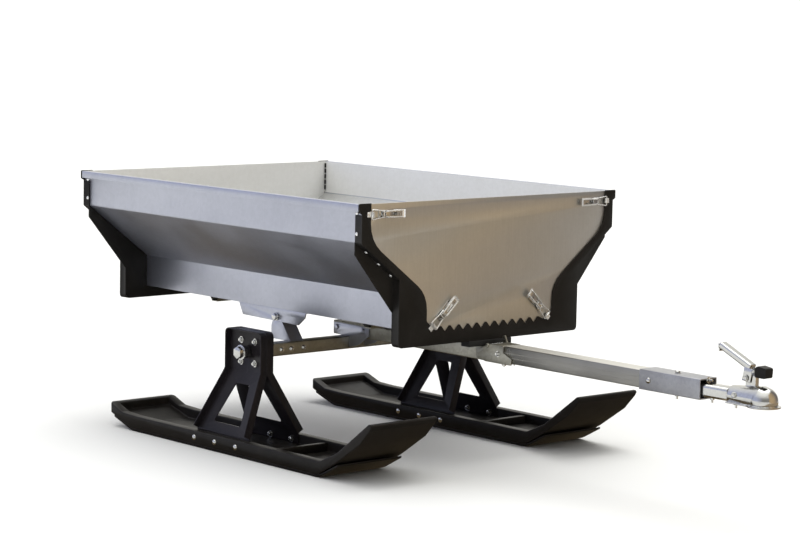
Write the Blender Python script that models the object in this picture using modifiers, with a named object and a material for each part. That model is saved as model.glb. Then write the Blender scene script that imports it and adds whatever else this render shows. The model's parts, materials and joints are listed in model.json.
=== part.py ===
"""Tow-behind grit and dump box carried on two pivoting skis, with a ball coupler.

Metres. X runs forward along the drawbar, Y to the left, Z up from the skis' soles.
Everything is laid out from the axle line (X = 0) and hung on one root empty, which
moves the whole sled so that its overall length is centred on the world's origin.
"""
import math

import bmesh
import bpy
from mathutils import Matrix, Vector

# Driving dimensions.
GAP = 0.0003              # clearance between touching pieces
SHEET = 0.0025            # box and frame sheet
BOX_HALF = 0.4967         # half width over the upper side sheets
LOW_HALF = 0.2726         # half width over the lower side sheets
RIM_Z = 0.7895
FOLD_HIGH_Z = 0.681       # upper wall turns inwards here
FOLD_LOW_Z = 0.5095       # and downwards again here
FLOOR_Z = 0.410
RIM_LIP = 0.011           # how far the rolled rim stands out
RIM_DROP = 0.021
FRONT_X = 0.620           # outer face of the front frame
REAR_X = -0.754           # outer face of the rear frame
FRAME_DEPTH = 0.032
FRAME_HALF = 0.500
FRAME_LOW_HALF = 0.357
FRAME_LOW_Z = 0.373
FRAME_SHEET = 0.003
TIP_PIVOT = Vector((-0.052, 0.0, 0.383))
AXLE_Z = 0.293
AXLE_HALF = 0.372
AXLE_SIZE = 0.040
SHAFT_RADIUS = 0.015
SKI_Y = 0.4095            # centre of each ski
SKI_HALF = 0.1245
SKI_WALL = 0.030
WEB = 0.0030              # tower bracket sheet
KNEE_Z = 0.232
TOWER_TOP = 0.360
DRAWBAR_Z = 0.3415
DRAWBAR_SIZE = (0.060, 0.049)
LOCK_PIVOT = Vector((0.646, 0.0, 0.360))
LEVER_PIVOT = Vector((1.612, 0.0, 0.390))
CATCH_PIVOT = Vector((1.645, 0.0, 0.400))
CLAMP_PIVOT = Vector((1.612, 0.0, 0.341))
BALL = Vector((1.665, 0.0, 0.334))
BALL_RADIUS = 0.0255
DOME_RADIUS = 0.0385
FLARE_RADIUS = 0.0460     # lip round the mouth of the ball housing
LATCH_TOP = 0.0150        # height of a closed latch above its panel
LATCH_PIVOT = (0.042, 0.0100)
BAIL_PIVOT = (0.056, 0.0085)

# ---------------------------------------------------------------- helpers


def clear_scene():
    for item in list(bpy.data.objects):
        bpy.data.objects.remove(item, do_unlink=True)


def make_collection(name):
    group = bpy.data.collections.new(name)
    bpy.context.scene.collection.children.link(group)
    return group


def material(name, colour, roughness, metallic):
    """A plain Principled material for one kind of surface."""
    found = bpy.data.materials.get(name)
    if found:
        return found
    made = bpy.data.materials.new(name)
    made.use_nodes = True
    shader = made.node_tree.nodes["Principled BSDF"]
    shader.inputs["Base Color"].default_value = (*colour, 1.0)
    shader.inputs["Roughness"].default_value = roughness
    shader.inputs["Metallic"].default_value = metallic
    made.diffuse_color = (*colour, 1.0)
    return made


def empty(name, location, parent=None):
    """A frame for a moving group; location is given in the sled's own frame."""
    marker = bpy.data.objects.new(name, None)
    PARTS.objects.link(marker)
    marker.empty_display_size = 0.05
    if parent:
        marker.parent = parent
        marker.location = Vector(location) - Vector(parent["place"])
    else:
        marker.location = location
    marker["place"] = tuple(location)
    return marker


def place(mesh_object, group, surface, collection=None):
    """Hang a finished piece, modelled in the sled's frame, on its group's empty."""
    target = collection or PARTS
    for owner in list(mesh_object.users_collection):
        owner.objects.unlink(mesh_object)
    target.objects.link(mesh_object)
    if surface:
        mesh_object.data.materials.clear()
        mesh_object.data.materials.append(surface)
    if group:
        mesh_object.parent = group
        mesh_object.location = mesh_object.location - Vector(group["place"])
    return mesh_object


def mesh_from(curve_object):
    """Replace a curve object by its welded mesh, keeping its place."""
    graph = bpy.context.evaluated_depsgraph_get()
    mesh = bpy.data.meshes.new_from_object(curve_object.evaluated_get(graph))
    work = bmesh.new()
    work.from_mesh(mesh)
    bmesh.ops.remove_doubles(work, verts=work.verts, dist=0.00001)
    work.to_mesh(mesh)
    work.free()
    solid = bpy.data.objects.new(curve_object.name + "_mesh", mesh)
    solid.matrix_world = curve_object.matrix_world.copy()
    name = curve_object.name
    bpy.data.objects.remove(curve_object, do_unlink=True)
    solid.name = name
    bpy.context.scene.collection.objects.link(solid)
    return solid


# Each plane's turn takes a flat outline's two directions to the named axes.
TURNS = {
    "YZ": (math.radians(90), 0.0, math.radians(90)),
    "XZ": (math.radians(90), 0.0, 0.0),
    "XY": (0.0, 0.0, 0.0),
}


def prism(name, loops, plane, low, high):
    """Flat outline with any holes, extruded between two positions on its normal."""
    curve = bpy.data.curves.new(name, "CURVE")
    curve.dimensions = "2D"
    curve.fill_mode = "BOTH"
    curve.extrude = (high - low) / 2
    for loop in loops:
        spline = curve.splines.new("POLY")
        spline.points.add(len(loop) - 1)
        for point, (u, v) in zip(spline.points, loop):
            point.co = (u, v, 0.0, 1.0)
        spline.use_cyclic_u = True
    flat = bpy.data.objects.new(name, curve)
    bpy.context.scene.collection.objects.link(flat)
    flat.rotation_euler = TURNS[plane]
    middle = (low + high) / 2
    flat.location = {"YZ": (middle, 0, 0), "XZ": (0, middle, 0), "XY": (0, 0, middle)}[plane]
    bpy.context.view_layer.update()
    return mesh_from(flat)


def block(name, low, high):
    """Axis-aligned box between two corners."""
    work = bmesh.new()
    size = Vector(high) - Vector(low)
    centre = (Vector(high) + Vector(low)) / 2
    bmesh.ops.create_cube(work, size=1.0, matrix=Matrix.Translation(centre) @ Matrix.Diagonal((*size, 1.0)))
    return from_bmesh(name, work)


def rod(name, start, end, radius, sides=16):
    """Round bar between two points."""
    start, end = Vector(start), Vector(end)
    span = end - start
    turn = span.to_track_quat("Z", "Y").to_matrix().to_4x4()
    work = bmesh.new()
    bmesh.ops.create_cone(work, cap_ends=True, segments=sides, radius1=radius, radius2=radius,
                          depth=span.length, matrix=Matrix.Translation((start + end) / 2) @ turn)
    solid = from_bmesh(name, work)
    solid.data.shade_smooth()
    solid.data.set_sharp_from_angle(angle=math.radians(40))
    return solid


def from_bmesh(name, work):
    mesh = bpy.data.meshes.new(name)
    work.to_mesh(mesh)
    work.free()
    solid = bpy.data.objects.new(name, mesh)
    bpy.context.scene.collection.objects.link(solid)
    return solid


def combine(target, other, operation):
    """Exact Boolean; the second solid is kept as a hidden guide."""
    step = target.modifiers.new(operation.title(), "BOOLEAN")
    step.operation = operation
    step.solver = "EXACT"
    step.object = other
    place(other, None, None, CUTTERS)
    other.hide_render = True
    other.display_type = "WIRE"
    other.parent = ROOT
    return target


def join(target, *others):
    for other in others:
        combine(target, other, "UNION")
    return target


def cut(target, *others):
    for other in others:
        combine(target, other, "DIFFERENCE")
    return target


def soften(solid, width, segments=2, angle=40):
    """Round every edge sharper than the angle."""
    step = solid.modifiers.new("Edges", "BEVEL")
    step.width = width
    step.segments = segments
    step.limit_method = "ANGLE"
    step.angle_limit = math.radians(angle)
    return solid


def mirrored(points):
    """The same outline on the other side of the centre plane, in reverse order."""
    return [(-u, v) for u, v in reversed(points)]


def rounded(points, steps=4):
    """Outline whose corners (u, v, radius) are arcs where a radius is given."""
    loop = []
    count = len(points)
    for index, (u, v, radius) in enumerate(points):
        corner = Vector((u, v))
        if not radius:
            loop.append((u, v))
            continue
        before = Vector(points[index - 1][:2]) - corner
        after = Vector(points[(index + 1) % count][:2]) - corner
        half = before.angle(after) / 2
        reach = radius / math.tan(half)
        start = corner + before.normalized() * reach
        end = corner + after.normalized() * reach
        centre = corner + (before.normalized() + after.normalized()).normalized() * (radius / math.sin(half))
        first, last = start - centre, end - centre
        begin = math.atan2(first.y, first.x)
        sweep = (math.atan2(last.y, last.x) - begin + math.pi) % (2 * math.pi) - math.pi
        for step in range(steps + 1):
            angle = begin + sweep * step / steps
            loop.append((centre.x + radius * math.cos(angle), centre.y + radius * math.sin(angle)))
    return loop


def rectangle(u0, v0, u1, v1, radius=0.0):
    return rounded([(u0, v0, radius), (u1, v0, radius), (u1, v1, radius), (u0, v1, radius)])


def offset_right(path, distance):
    """Open path moved to its right-hand side, with mitred corners."""
    moved = []
    for index, point in enumerate(path):
        here = Vector(point)
        into = here - Vector(path[index - 1]) if index else Vector(path[1]) - here
        out = Vector(path[index + 1]) - here if index + 1 < len(path) else into
        side_in = Vector((into.y, -into.x)).normalized()
        side_out = Vector((out.y, -out.x)).normalized()
        middle = (side_in + side_out).normalized()
        moved.append(tuple(here + middle * (distance / middle.dot(side_in))))
    return moved


def slope_z(half_width):
    """Height of the box's sloping wall at a given half width."""
    rise = (FOLD_HIGH_Z - FOLD_LOW_Z) / (BOX_HALF - LOW_HALF)
    return FOLD_LOW_Z + (half_width - LOW_HALF) * rise


# ---------------------------------------------------------------- materials

GALVANISED = ("galvanised_sheet", (0.47, 0.49, 0.53), 0.42, 0.85)
END_SHEET = ("end_sheet", (0.46, 0.42, 0.35), 0.45, 0.80)
BLACK_FRAME = ("black_frame_paint", (0.025, 0.023, 0.022), 0.45, 0.10)
BLACK_TOWER = ("black_tower_paint", (0.040, 0.036, 0.040), 0.35, 0.15)
SKI_PLASTIC = ("ski_plastic", (0.035, 0.032, 0.030), 0.50, 0.0)
HOT_DIP = ("hot_dip_steel", (0.34, 0.33, 0.28), 0.50, 0.80)
ALUMINIUM = ("drawbar_aluminium", (0.62, 0.61, 0.58), 0.35, 0.95)
ZINC = ("bright_zinc", (0.62, 0.62, 0.60), 0.25, 0.95)
RUBBER = ("black_rubber", (0.015, 0.015, 0.015), 0.80, 0.0)
GRIP = ("black_grip", (0.020, 0.020, 0.022), 0.45, 0.0)

# ---------------------------------------------------------------- box


def panel_plane(end):
    """Outer and inner X of the end panel, which lies against the frame's face."""
    outer = (FRONT_X if end > 0 else REAR_X) - end * (FRAME_SHEET + GAP)
    return outer, outer - end * SHEET


def box_side(name, side, group):
    path = rounded([(LOW_HALF, FLOOR_Z, 0), (LOW_HALF, FOLD_LOW_Z, 0), (BOX_HALF, FOLD_HIGH_Z, 0.009),
                    (BOX_HALF, RIM_Z - SHEET, 0), (BOX_HALF + RIM_LIP, RIM_Z - SHEET, 0),
                    (BOX_HALF + RIM_LIP, RIM_Z - RIM_DROP, 0)], 2)
    loop = path + list(reversed(offset_right(path, -SHEET)))
    if side < 0:
        loop = mirrored(loop)
    ends = sorted((panel_plane(-1)[1] + GAP, panel_plane(1)[1] - GAP))
    return place(prism(name, [loop], "YZ", *ends), group, material(*GALVANISED))


def box_floor(group):
    half = LOW_HALF - SHEET - GAP
    low = (panel_plane(-1)[1] + GAP, -half, FLOOR_Z + 0.0005)
    high = (panel_plane(1)[1] - GAP, half, FLOOR_Z + 0.0035)
    return place(block("box_floor", low, high), group, material(*GALVANISED))


def floor_rib(name, centre_x, group):
    """Hat channel across the underside of the floor, clear of the spine."""
    top, drop, foot = FLOOR_Z - GAP, 0.022, 0.012
    outer = [(-0.032, top), (-0.032, top - 0.003), (-0.019, top - 0.003), (-0.014, top - drop),
             (0.014, top - drop), (0.019, top - 0.003), (0.032, top - 0.003), (0.032, top),
             (0.032 - foot, top), (0.0115, top - drop + 0.003), (-0.0115, top - drop + 0.003),
             (foot - 0.032, top)]
    loop = [(centre_x + u, v) for u, v in outer]
    return place(prism(name, [loop], "XZ", -0.225, 0.225), group, material(*HOT_DIP))


def flange_z(half_width):
    """Height of the frame's sloping flange, just outside the sloping wall."""
    return slope_z(half_width) - 0.0041


def face_loop():
    """Face plate with its wide U cut-out and a row of gripping teeth."""
    top = RIM_Z + 0.002
    ear = BOX_HALF + RIM_LIP + SHEET + 0.0005
    side = [(0.467, top, 0), (ear, top, 0.003), (ear, RIM_Z - RIM_DROP - 0.002, 0),
            (FRAME_HALF, RIM_Z - RIM_DROP - 0.008, 0), (FRAME_HALF, flange_z(FRAME_HALF), 0.008),
            (FRAME_LOW_HALF, flange_z(FRAME_LOW_HALF), 0.008), (FRAME_LOW_HALF, FRAME_LOW_Z, 0.012)]
    cutout = [(0.218, 0.416, 0), (0.251, 0.443, 0.01), (0.251, 0.5205, 0.09), (0.468, 0.6845, 0.10)]
    count, pitch, peak, valley, tip = 12, 0.0356, 0.4255, 0.4085, 0.0025
    teeth = []
    for index in range(count):
        centre = (index - (count - 1) / 2) * pitch
        teeth += [(centre - tip, peak, 0), (centre + tip, peak, 0), (centre + pitch / 2, valley, 0)]
    opposite = [(-u, v, r) for u, v, r in reversed(side)]
    opposite_cutout = [(-u, v, r) for u, v, r in reversed(cutout)]
    return rounded(side + opposite + opposite_cutout + teeth[:-1] + cutout, 4)


def end_frame(name, end, group):
    """Pressed frame: face, flanges along the box section, and flared back plate."""
    outer_x = FRONT_X if end > 0 else REAR_X
    face = sorted((outer_x, outer_x - end * FRAME_SHEET))
    band = sorted((outer_x - end * FRAME_SHEET / 2, outer_x - end * (FRAME_DEPTH - 0.001)))
    back = sorted((outer_x - end * FRAME_DEPTH, outer_x - end * (FRAME_DEPTH - FRAME_SHEET)))
    step_in = 0.0004
    half, low, base = FRAME_HALF - step_in, FRAME_LOW_HALF - step_in, FRAME_LOW_Z + step_in
    right = rounded([(half, RIM_Z - RIM_DROP - 0.010, 0), (half, flange_z(half), 0.008),
                     (low, flange_z(low), 0.008), (low, base, 0.012), (-low, base, 0)], 3)[:-1]
    inside = offset_right(right, FRAME_SHEET - 0.0005)
    inside[-1] = (right[-1][0], base + FRAME_SHEET - 0.0005)
    ring = right + mirrored(right) + list(reversed(mirrored(inside))) + list(reversed(inside))
    frame = prism(name, [face_loop()], "YZ", *face)
    flange = prism(name + "_flange", [ring], "YZ", *band)
    wide, section = FRAME_HALF, LOW_HALF + GAP
    wing = [(wide, FOLD_HIGH_Z), (wide, 0.645), (FRAME_LOW_HALF, 0.472),
            (FRAME_LOW_HALF, FRAME_LOW_Z + 0.014), (FRAME_LOW_HALF - 0.014, FRAME_LOW_Z)]
    hole = [(section, FLOOR_Z - GAP), (section, slope_z(section) - 0.0008),
            (BOX_HALF + 0.0006, slope_z(BOX_HALF + 0.0006) - 0.0008)]
    plate = wing + mirrored(wing) + mirrored(hole) + hole
    join(frame, flange, prism(name + "_back", [plate], "YZ", *back))
    return place(frame, group, material(*BLACK_FRAME))


def latch_frames(end):
    """Matrix of each latch: s along the latch, t across it, n out of the panel."""
    outward = Vector((end, 0, 0))
    surface = panel_plane(end)[0]
    spots = {"top_left": (0.468, 0.760, 180), "top_right": (-0.468, 0.760, 0),
             "low_left": (0.229, 0.427, 137), "low_right": (-0.229, 0.427, 43)}
    frames = {}
    for label, (y, z, angle) in spots.items():
        along = Vector((0, math.cos(math.radians(angle)), math.sin(math.radians(angle))))
        across = outward.cross(along)
        turn = Matrix((along, across, outward)).transposed().to_4x4()
        frames[label] = Matrix.Translation((surface, y, z)) @ turn
    return frames


def end_panel(name, end, group):
    """End sheet closing the box, with the four latch bases standing on it."""
    half = FRAME_HALF - FRAME_SHEET - 0.0008
    low = FRAME_LOW_HALF - FRAME_SHEET - 0.0005
    right = [(half, RIM_Z), (half, FOLD_HIGH_Z + 0.0005), (low, slope_z(FRAME_LOW_HALF) + 0.003),
             (low, FRAME_LOW_Z + FRAME_SHEET + 0.012), (low - 0.012, FRAME_LOW_Z + FRAME_SHEET + GAP)]
    panel = prism(name, [right + mirrored(right)], "YZ", *sorted(panel_plane(end)))
    for label, frame in latch_frames(end).items():
        base = block(f"{name}_{label}_base", (0.030, -0.0115, -0.001), (0.096, 0.0115, 0.0035))
        lug = block(f"{name}_{label}_lug", (0.0385, -0.0045, 0.0), (0.0455, 0.0045, 0.0118))
        base.data.transform(frame)
        lug.data.transform(frame)
        join(panel, base, lug)
    return place(panel, group, material(*END_SHEET))


def latch_lever_mesh():
    """Pressed lever: narrow pivot cheeks, neck and a wider thumb plate."""
    pivot = Vector((LATCH_PIVOT[0], 0, LATCH_PIVOT[1]))
    lever = block("latch_lever_form", (0.0455, -0.0068, 0.0125), (0.075, 0.0068, LATCH_TOP))
    thumb = block("latch_thumb_form", (0.070, -0.0115, 0.0125), (0.112, 0.0115, LATCH_TOP))
    cheeks = [block("latch_cheek_form", (0.038, side - 0.0009, 0.0062), (0.062, side + 0.0009, 0.0140))
              for side in (-0.0059, 0.0059)]
    join(lever, thumb, *cheeks)
    graph = bpy.context.evaluated_depsgraph_get()
    mesh = bpy.data.meshes.new_from_object(lever.evaluated_get(graph))
    mesh.transform(Matrix.Translation(-pivot))
    for item in (lever, thumb, *cheeks):
        bpy.data.objects.remove(item, do_unlink=True)
    return mesh


def latch_bail_mesh():
    """Wire loop, wide at the hook and narrow where it meets the lever."""
    pivot = Vector((BAIL_PIVOT[0], 0, BAIL_PIVOT[1]))
    wide, narrow, wire = 0.0150, 0.0092, 0.0019
    half = [(0.058, narrow), (0.040, narrow), (0.004, wide - 0.001), (0.0006, wide - 0.003)]
    route = half + [(s, -t) for s, t in reversed(half)]
    curve = bpy.data.curves.new("latch_bail_form", "CURVE")
    curve.dimensions = "3D"
    curve.bevel_depth = wire
    curve.bevel_resolution = 1
    curve.use_fill_caps = True
    spline = curve.splines.new("POLY")
    spline.points.add(len(route) - 1)
    for point, (s, t) in zip(spline.points, route):
        point.co = (s, t, BAIL_PIVOT[1], 1.0)
    wire_object = bpy.data.objects.new("latch_bail_form", curve)
    bpy.context.scene.collection.objects.link(wire_object)
    bpy.context.view_layer.update()
    solid = mesh_from(wire_object)
    mesh = solid.data
    mesh.transform(Matrix.Translation(-pivot))
    bpy.data.objects.remove(solid, do_unlink=True)
    return mesh


def latches(end, end_name, lever_mesh, bail_mesh, group):
    """Four over-centre latches on one end panel; lever and bail are separate pieces."""
    for label, frame in latch_frames(end).items():
        for kind, mesh, spot, surface in (("lever", lever_mesh, LATCH_PIVOT, ZINC),
                                          ("bail", bail_mesh, BAIL_PIVOT, ZINC)):
            piece = bpy.data.objects.new(f"{end_name}_{label}_{kind}", mesh.copy())
            bpy.context.scene.collection.objects.link(piece)
            matrix = frame @ Matrix.Translation((spot[0], 0, spot[1]))
            piece.rotation_euler = matrix.to_euler()
            piece.location = matrix.translation
            place(piece, group, material(*surface))


def tip_bracket(name, side, group):
    """Angle bracket bolted under the floor edge, with the tipping pivot's hole."""
    top = FLOOR_Z - GAP
    plate = [(-0.238, top), (0.092, top), (0.086, 0.392), (0.055, 0.368), (-0.218, 0.372)]
    y0, y1 = sorted((side * 0.2665, side * 0.2625))
    web = prism(name, [plate], "XZ", y0, y1)
    f0, f1 = sorted((side * 0.264, side * 0.232))
    flange = block(name + "_flange", (-0.238, f0, top - 0.003), (0.092, f1, top))
    hole = rod(name + "_hole", (TIP_PIVOT.x, side * 0.25, TIP_PIVOT.z),
               (TIP_PIVOT.x, side * 0.28, TIP_PIVOT.z), 0.0068)
    join(web, flange)
    cut(web, hole)
    return place(web, group, material(*GALVANISED))


# ---------------------------------------------------------------- chassis


def upright(name, side):
    """Channel post on the axle beam that carries the tipping pivot."""
    base = AXLE_Z + AXLE_SIZE / 2 + GAP
    px, pz, crown = TIP_PIVOT.x, TIP_PIVOT.z, 0.021
    arc = [(px + crown * math.cos(math.radians(a)), pz + crown * math.sin(math.radians(a)))
           for a in range(0, 181, 20)]
    shape = [(-0.080, base), (0.014, base), (px + crown, 0.372), *arc, (px - crown, 0.372), (-0.080, 0.355)]
    y0, y1 = sorted((side * 0.2620, side * 0.2120))
    post = prism(name, [shape], "XZ", y0, y1)
    c0, c1 = sorted((side * 0.2580, side * 0.2000))
    hollow = [(-0.076, base + 0.004), (0.009, base + 0.004), (px + crown - 0.004, 0.372),
              (px + crown - 0.004, pz + 0.030), (px - crown + 0.004, pz + 0.030),
              (px - crown + 0.004, 0.372), (-0.076, 0.355)]
    cut(post, prism(name + "_hollow", [hollow], "XZ", c0, c1))
    cut(post, rod(name + "_hole", (px, side * 0.25, pz), (px, side * 0.28, pz), 0.0068))
    return place(post, ROOT, material(*GALVANISED))


def pivot_bolt(name, side):
    """Bolt through the bracket and the post, with its head outside."""
    def at(y):
        return (TIP_PIVOT.x, side * y, TIP_PIVOT.z)
    shank = rod(name, at(0.250), at(0.270), 0.0060)
    washer = rod(name + "_washer", at(0.2668), at(0.2690), 0.0125)
    head = rod(name + "_head", at(0.2685), at(0.2770), 0.0105, 6)
    nut = rod(name + "_nut", at(0.2480), at(0.2576), 0.0105, 6)
    join(shank, washer, head, nut)
    return place(shank, ROOT, material(*ZINC))


def tube_loops(half_u, half_v, wall, radius, centre_v=0.0):
    outer = rectangle(-half_u, centre_v - half_v, half_u, centre_v + half_v, radius)
    inner = rectangle(wall - half_u, centre_v - half_v + wall, half_u - wall, centre_v + half_v - wall,
                      max(radius - wall, 0.0005))
    return [outer, inner]


def axle_beam():
    """Square tube across the sled."""
    half = AXLE_SIZE / 2
    loops = [[(u, v + AXLE_Z) for u, v in loop] for loop in tube_loops(half, half, 0.003, 0.004)]
    beam = prism("axle_beam", loops, "XZ", -AXLE_HALF, AXLE_HALF)
    return place(beam, ROOT, material(*HOT_DIP))


def axle_bolt(name, side):
    """Stub shaft in the beam's end, with shoulder, washer and large hexagon head."""
    def at(y):
        return (0, side * y, AXLE_Z)
    shaft = rod(name, at(0.300), at(0.440), SHAFT_RADIUS, 20)
    plug = rod(name + "_plug", at(0.300), at(0.3735), 0.0165)
    collar = rod(name + "_collar", at(SKI_Y + 0.0045), at(0.4400), 0.0190)
    washer = rod(name + "_washer", at(0.4390), at(0.4425), 0.0230)
    head = rod(name + "_head", at(0.4415), at(0.4560), 0.0185, 6)
    join(shaft, plug, collar, washer, head)
    return place(shaft, ROOT, material(*ZINC))


def spine():
    """Rectangular tube along the sled, resting on the axle beam."""
    base = AXLE_Z + AXLE_SIZE / 2 + GAP
    height = 0.0415
    loops = tube_loops(0.030, height / 2, 0.003, 0.003, base + height / 2)
    tube = prism("spine", loops, "YZ", -0.060, 0.655)
    return place(tube, ROOT, material(*HOT_DIP))


def spine_gusset(name, side):
    """Side plate tying the spine to the axle beam."""
    shape = rounded([(-0.055, 0.350, 0.004), (-0.052, 0.3135, 0), (-0.0208, 0.3135, 0), (-0.0208, 0.290, 0),
                     (-0.0208, 0.2815, 0), (0.0, 0.2720, 0), (0.066, 0.2915, 0.004), (0.113, 0.322, 0.004),
                     (0.113, 0.350, 0.004)])
    y0, y1 = sorted((side * (0.030 + GAP), side * 0.0345))
    plate = prism(name, [shape], "XZ", y0, y1)
    slot_low = (-AXLE_SIZE / 2 - GAP, min(y0, y1) - 0.01, 0.20)
    slot_high = (AXLE_SIZE / 2 + GAP, max(y0, y1) + 0.01, AXLE_Z + AXLE_SIZE / 2 + GAP)
    cut(plate, block(name + "_slot", slot_low, slot_high))
    bolts = []
    for index, x in enumerate((-0.038, 0.088)):
        bolts.append(rod(f"{name}_bolt_{index}", (x, side * 0.032, 0.336), (x, side * 0.0400, 0.336), 0.0085, 6))
    join(plate, *bolts)
    return place(plate, ROOT, material(*GALVANISED))


def drawbar():
    """Rectangular aluminium extrusion between the lock block and the sleeve."""
    half_y, half_z = DRAWBAR_SIZE[0] / 2, DRAWBAR_SIZE[1] / 2
    bar = prism("drawbar", tube_loops(half_y, half_z, 0.0035, 0.0025, DRAWBAR_Z), "YZ", 0.7125, 1.3000)
    return place(bar, ROOT, material(*ALUMINIUM))


def lock_block():
    """Clevis that clamps the drawbar to the spine and holds the tip lock."""
    half_y = DRAWBAR_SIZE[0] / 2
    low, high = DRAWBAR_Z - DRAWBAR_SIZE[1] / 2, DRAWBAR_Z + DRAWBAR_SIZE[1] / 2
    shape = rounded([(0.660, low - 0.0045, 0), (0.7118, low - 0.0045, 0), (0.7118, high, 0.003),
                     (0.660, high, 0.003)])
    body = prism("lock_block", [shape], "XZ", -half_y, half_y)
    cheek_shape = rounded([(0.598, 0.3195, 0.008), (0.640, low - 0.0045, 0), (0.745, low - 0.0045, 0.003),
                           (0.745, 0.332, 0.003), (0.7118, 0.345, 0), (0.7118, high, 0.003),
                           (0.640, high, 0.006), (0.6260, 0.3500, 0.004),
                           (0.598, 0.3500, 0.006)])
    for side in (-1, 1):
        y0, y1 = sorted((side * (half_y + GAP), side * (half_y + 0.0040)))
        cheek = prism(f"lock_block_cheek_{side}", [cheek_shape], "XZ", y0, y1)
        bridge = block(f"lock_block_bridge_{side}", (0.662, min(side * (half_y - 0.002), side * (half_y + 0.003)),
                       low), (0.7100, max(side * (half_y - 0.002), side * (half_y + 0.003)), high - 0.003))
        join(body, bridge, cheek)
    pin = rod("lock_block_pin", (LOCK_PIVOT.x, -0.0360, LOCK_PIVOT.z), (LOCK_PIVOT.x, 0.0440, LOCK_PIVOT.z), 0.003)
    heads = [rod(f"lock_block_head_{index}", (LOCK_PIVOT.x, y, LOCK_PIVOT.z), (LOCK_PIVOT.x, y + 0.004, LOCK_PIVOT.z),
                 0.0065, 6) for index, y in enumerate((-0.0375, 0.0408))]
    join(body, pin, *heads)
    return place(body, ROOT, material(*ZINC))


def tip_lock(group):
    """Hooked hand lever beside the lock block that holds the front of the box down; drawn released."""
    px, pz = LOCK_PIVOT.x, LOCK_PIVOT.z
    outline = [(0.006, -0.008, 0.004), (0.030, -0.013, 0.006), (0.078, -0.016, 0.002), (0.078, -0.009, 0.002),
               (0.032, -0.004, 0.006), (0.008, 0.006, 0.006), (-0.001, 0.024, 0.002), (-0.011, 0.021, 0.002),
               (-0.010, 0.015, 0.001), (-0.005, 0.015, 0.002), (-0.008, 0.000, 0.006), (-0.006, -0.006, 0.003)]
    shape = rounded([(px + u, pz + v, radius) for u, v, radius in outline])
    lever = prism("tip_lock_lever", [shape], "XZ", 0.0352, 0.0402)
    cut(lever, rod("tip_lock_bore", (px, 0.03, pz), (px, 0.05, pz), 0.0035))
    return place(lever, group, material(*ZINC))


def stop_pad():
    """Rubber rest on the spine for the front frame's lower edge."""
    top = FRAME_LOW_Z - GAP
    pad = block("stop_pad", (0.586, -0.085, AXLE_Z + 0.0620 + GAP), (0.622, 0.085, top))
    soften(pad, 0.002, 2)
    return place(pad, ROOT, material(*RUBBER))


def drawbar_sleeve():
    """Square sleeve over the drawbar's end, bolted through."""
    half_y, half_z = DRAWBAR_SIZE[0] / 2 + 0.0035, DRAWBAR_SIZE[1] / 2 + 0.0035
    tube = prism("drawbar_sleeve", tube_loops(half_y, half_z, 0.0031, 0.003, DRAWBAR_Z), "YZ", 1.250, 1.470)
    return place(tube, ROOT, material(*ZINC))


def coupler_shank():
    """Tube of the coupler inside the sleeve."""
    tube = prism("coupler_shank", tube_loops(0.025, 0.0175, 0.003, 0.008, 0.3385), "YZ", 1.305, 1.5580)
    return place(tube, ROOT, material(*ZINC))


def turned(name, profile, centre, steps=20):
    """Solid of revolution about a vertical axis; profile runs top to bottom at +X."""
    mesh = bpy.data.meshes.new(name)
    mesh.from_pydata([(r, 0, z) for r, z in profile], [(i, i + 1) for i in range(len(profile) - 1)], [])
    solid = bpy.data.objects.new(name, mesh)
    bpy.context.scene.collection.objects.link(solid)
    solid.location = centre
    screw = solid.modifiers.new("Turn", "SCREW")
    screw.steps = steps
    screw.render_steps = steps
    screw.use_merge_vertices = True
    screw.merge_threshold = 0.0001
    bpy.context.view_layer.update()
    graph = bpy.context.evaluated_depsgraph_get()
    made = bpy.data.meshes.new_from_object(solid.evaluated_get(graph))
    solid.modifiers.clear()
    solid.data = made
    return solid


def arc_profile(radius, start, end, steps):
    """Points of an arc about the origin in the turning plane, angles from the top."""
    angles = [math.radians(start + (end - start) * i / steps) for i in range(steps + 1)]
    return [(radius * math.sin(a), radius * math.cos(a)) for a in angles]


def coupler_body():
    """Pressed ball housing: dome with a flared nose and a neck around the shank."""
    outer = arc_profile(DOME_RADIUS, 0.0, 90.0, 5)
    outer[0] = (0.0, DOME_RADIUS)
    profile = outer + [(DOME_RADIUS, -0.008), (FLARE_RADIUS, -0.0125), (FLARE_RADIUS, -0.0160), (0.0, -0.0160)]
    dome = turned("coupler_body", profile, BALL)
    low = BALL.z - 0.016
    shape = rounded([(1.5585, low, 0), (1.668, low, 0), (1.668, 0.362, 0.004), (1.640, 0.368, 0.01),
                     (1.5585, 0.373, 0.004)])
    neck = prism("coupler_neck", [shape], "XZ", -0.0290, 0.0290)
    post = rounded([(1.612, 0.360, 0), (1.650, 0.360, 0), (1.640, 0.3800, 0.006), (1.640, 0.402, 0.006),
                    (1.612, 0.402, 0.006), (1.606, 0.380, 0)])
    lug = prism("coupler_lug", [post], "XZ", -0.0085, 0.0085)
    join(dome, neck, lug)
    socket_profile = arc_profile(BALL_RADIUS, 0.0, 90.0, 5)
    socket_profile[0] = (0.0, BALL_RADIUS)
    socket_profile += [(BALL_RADIUS, -0.030), (0.0, -0.030)]
    cut(dome, turned("coupler_socket", socket_profile, BALL, 20))
    cut(dome, block("coupler_pocket", (1.600, -0.0105, low - 0.01), (1.645, 0.0105, 0.3500)))
    return place(dome, ROOT, material(*ZINC))


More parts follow.
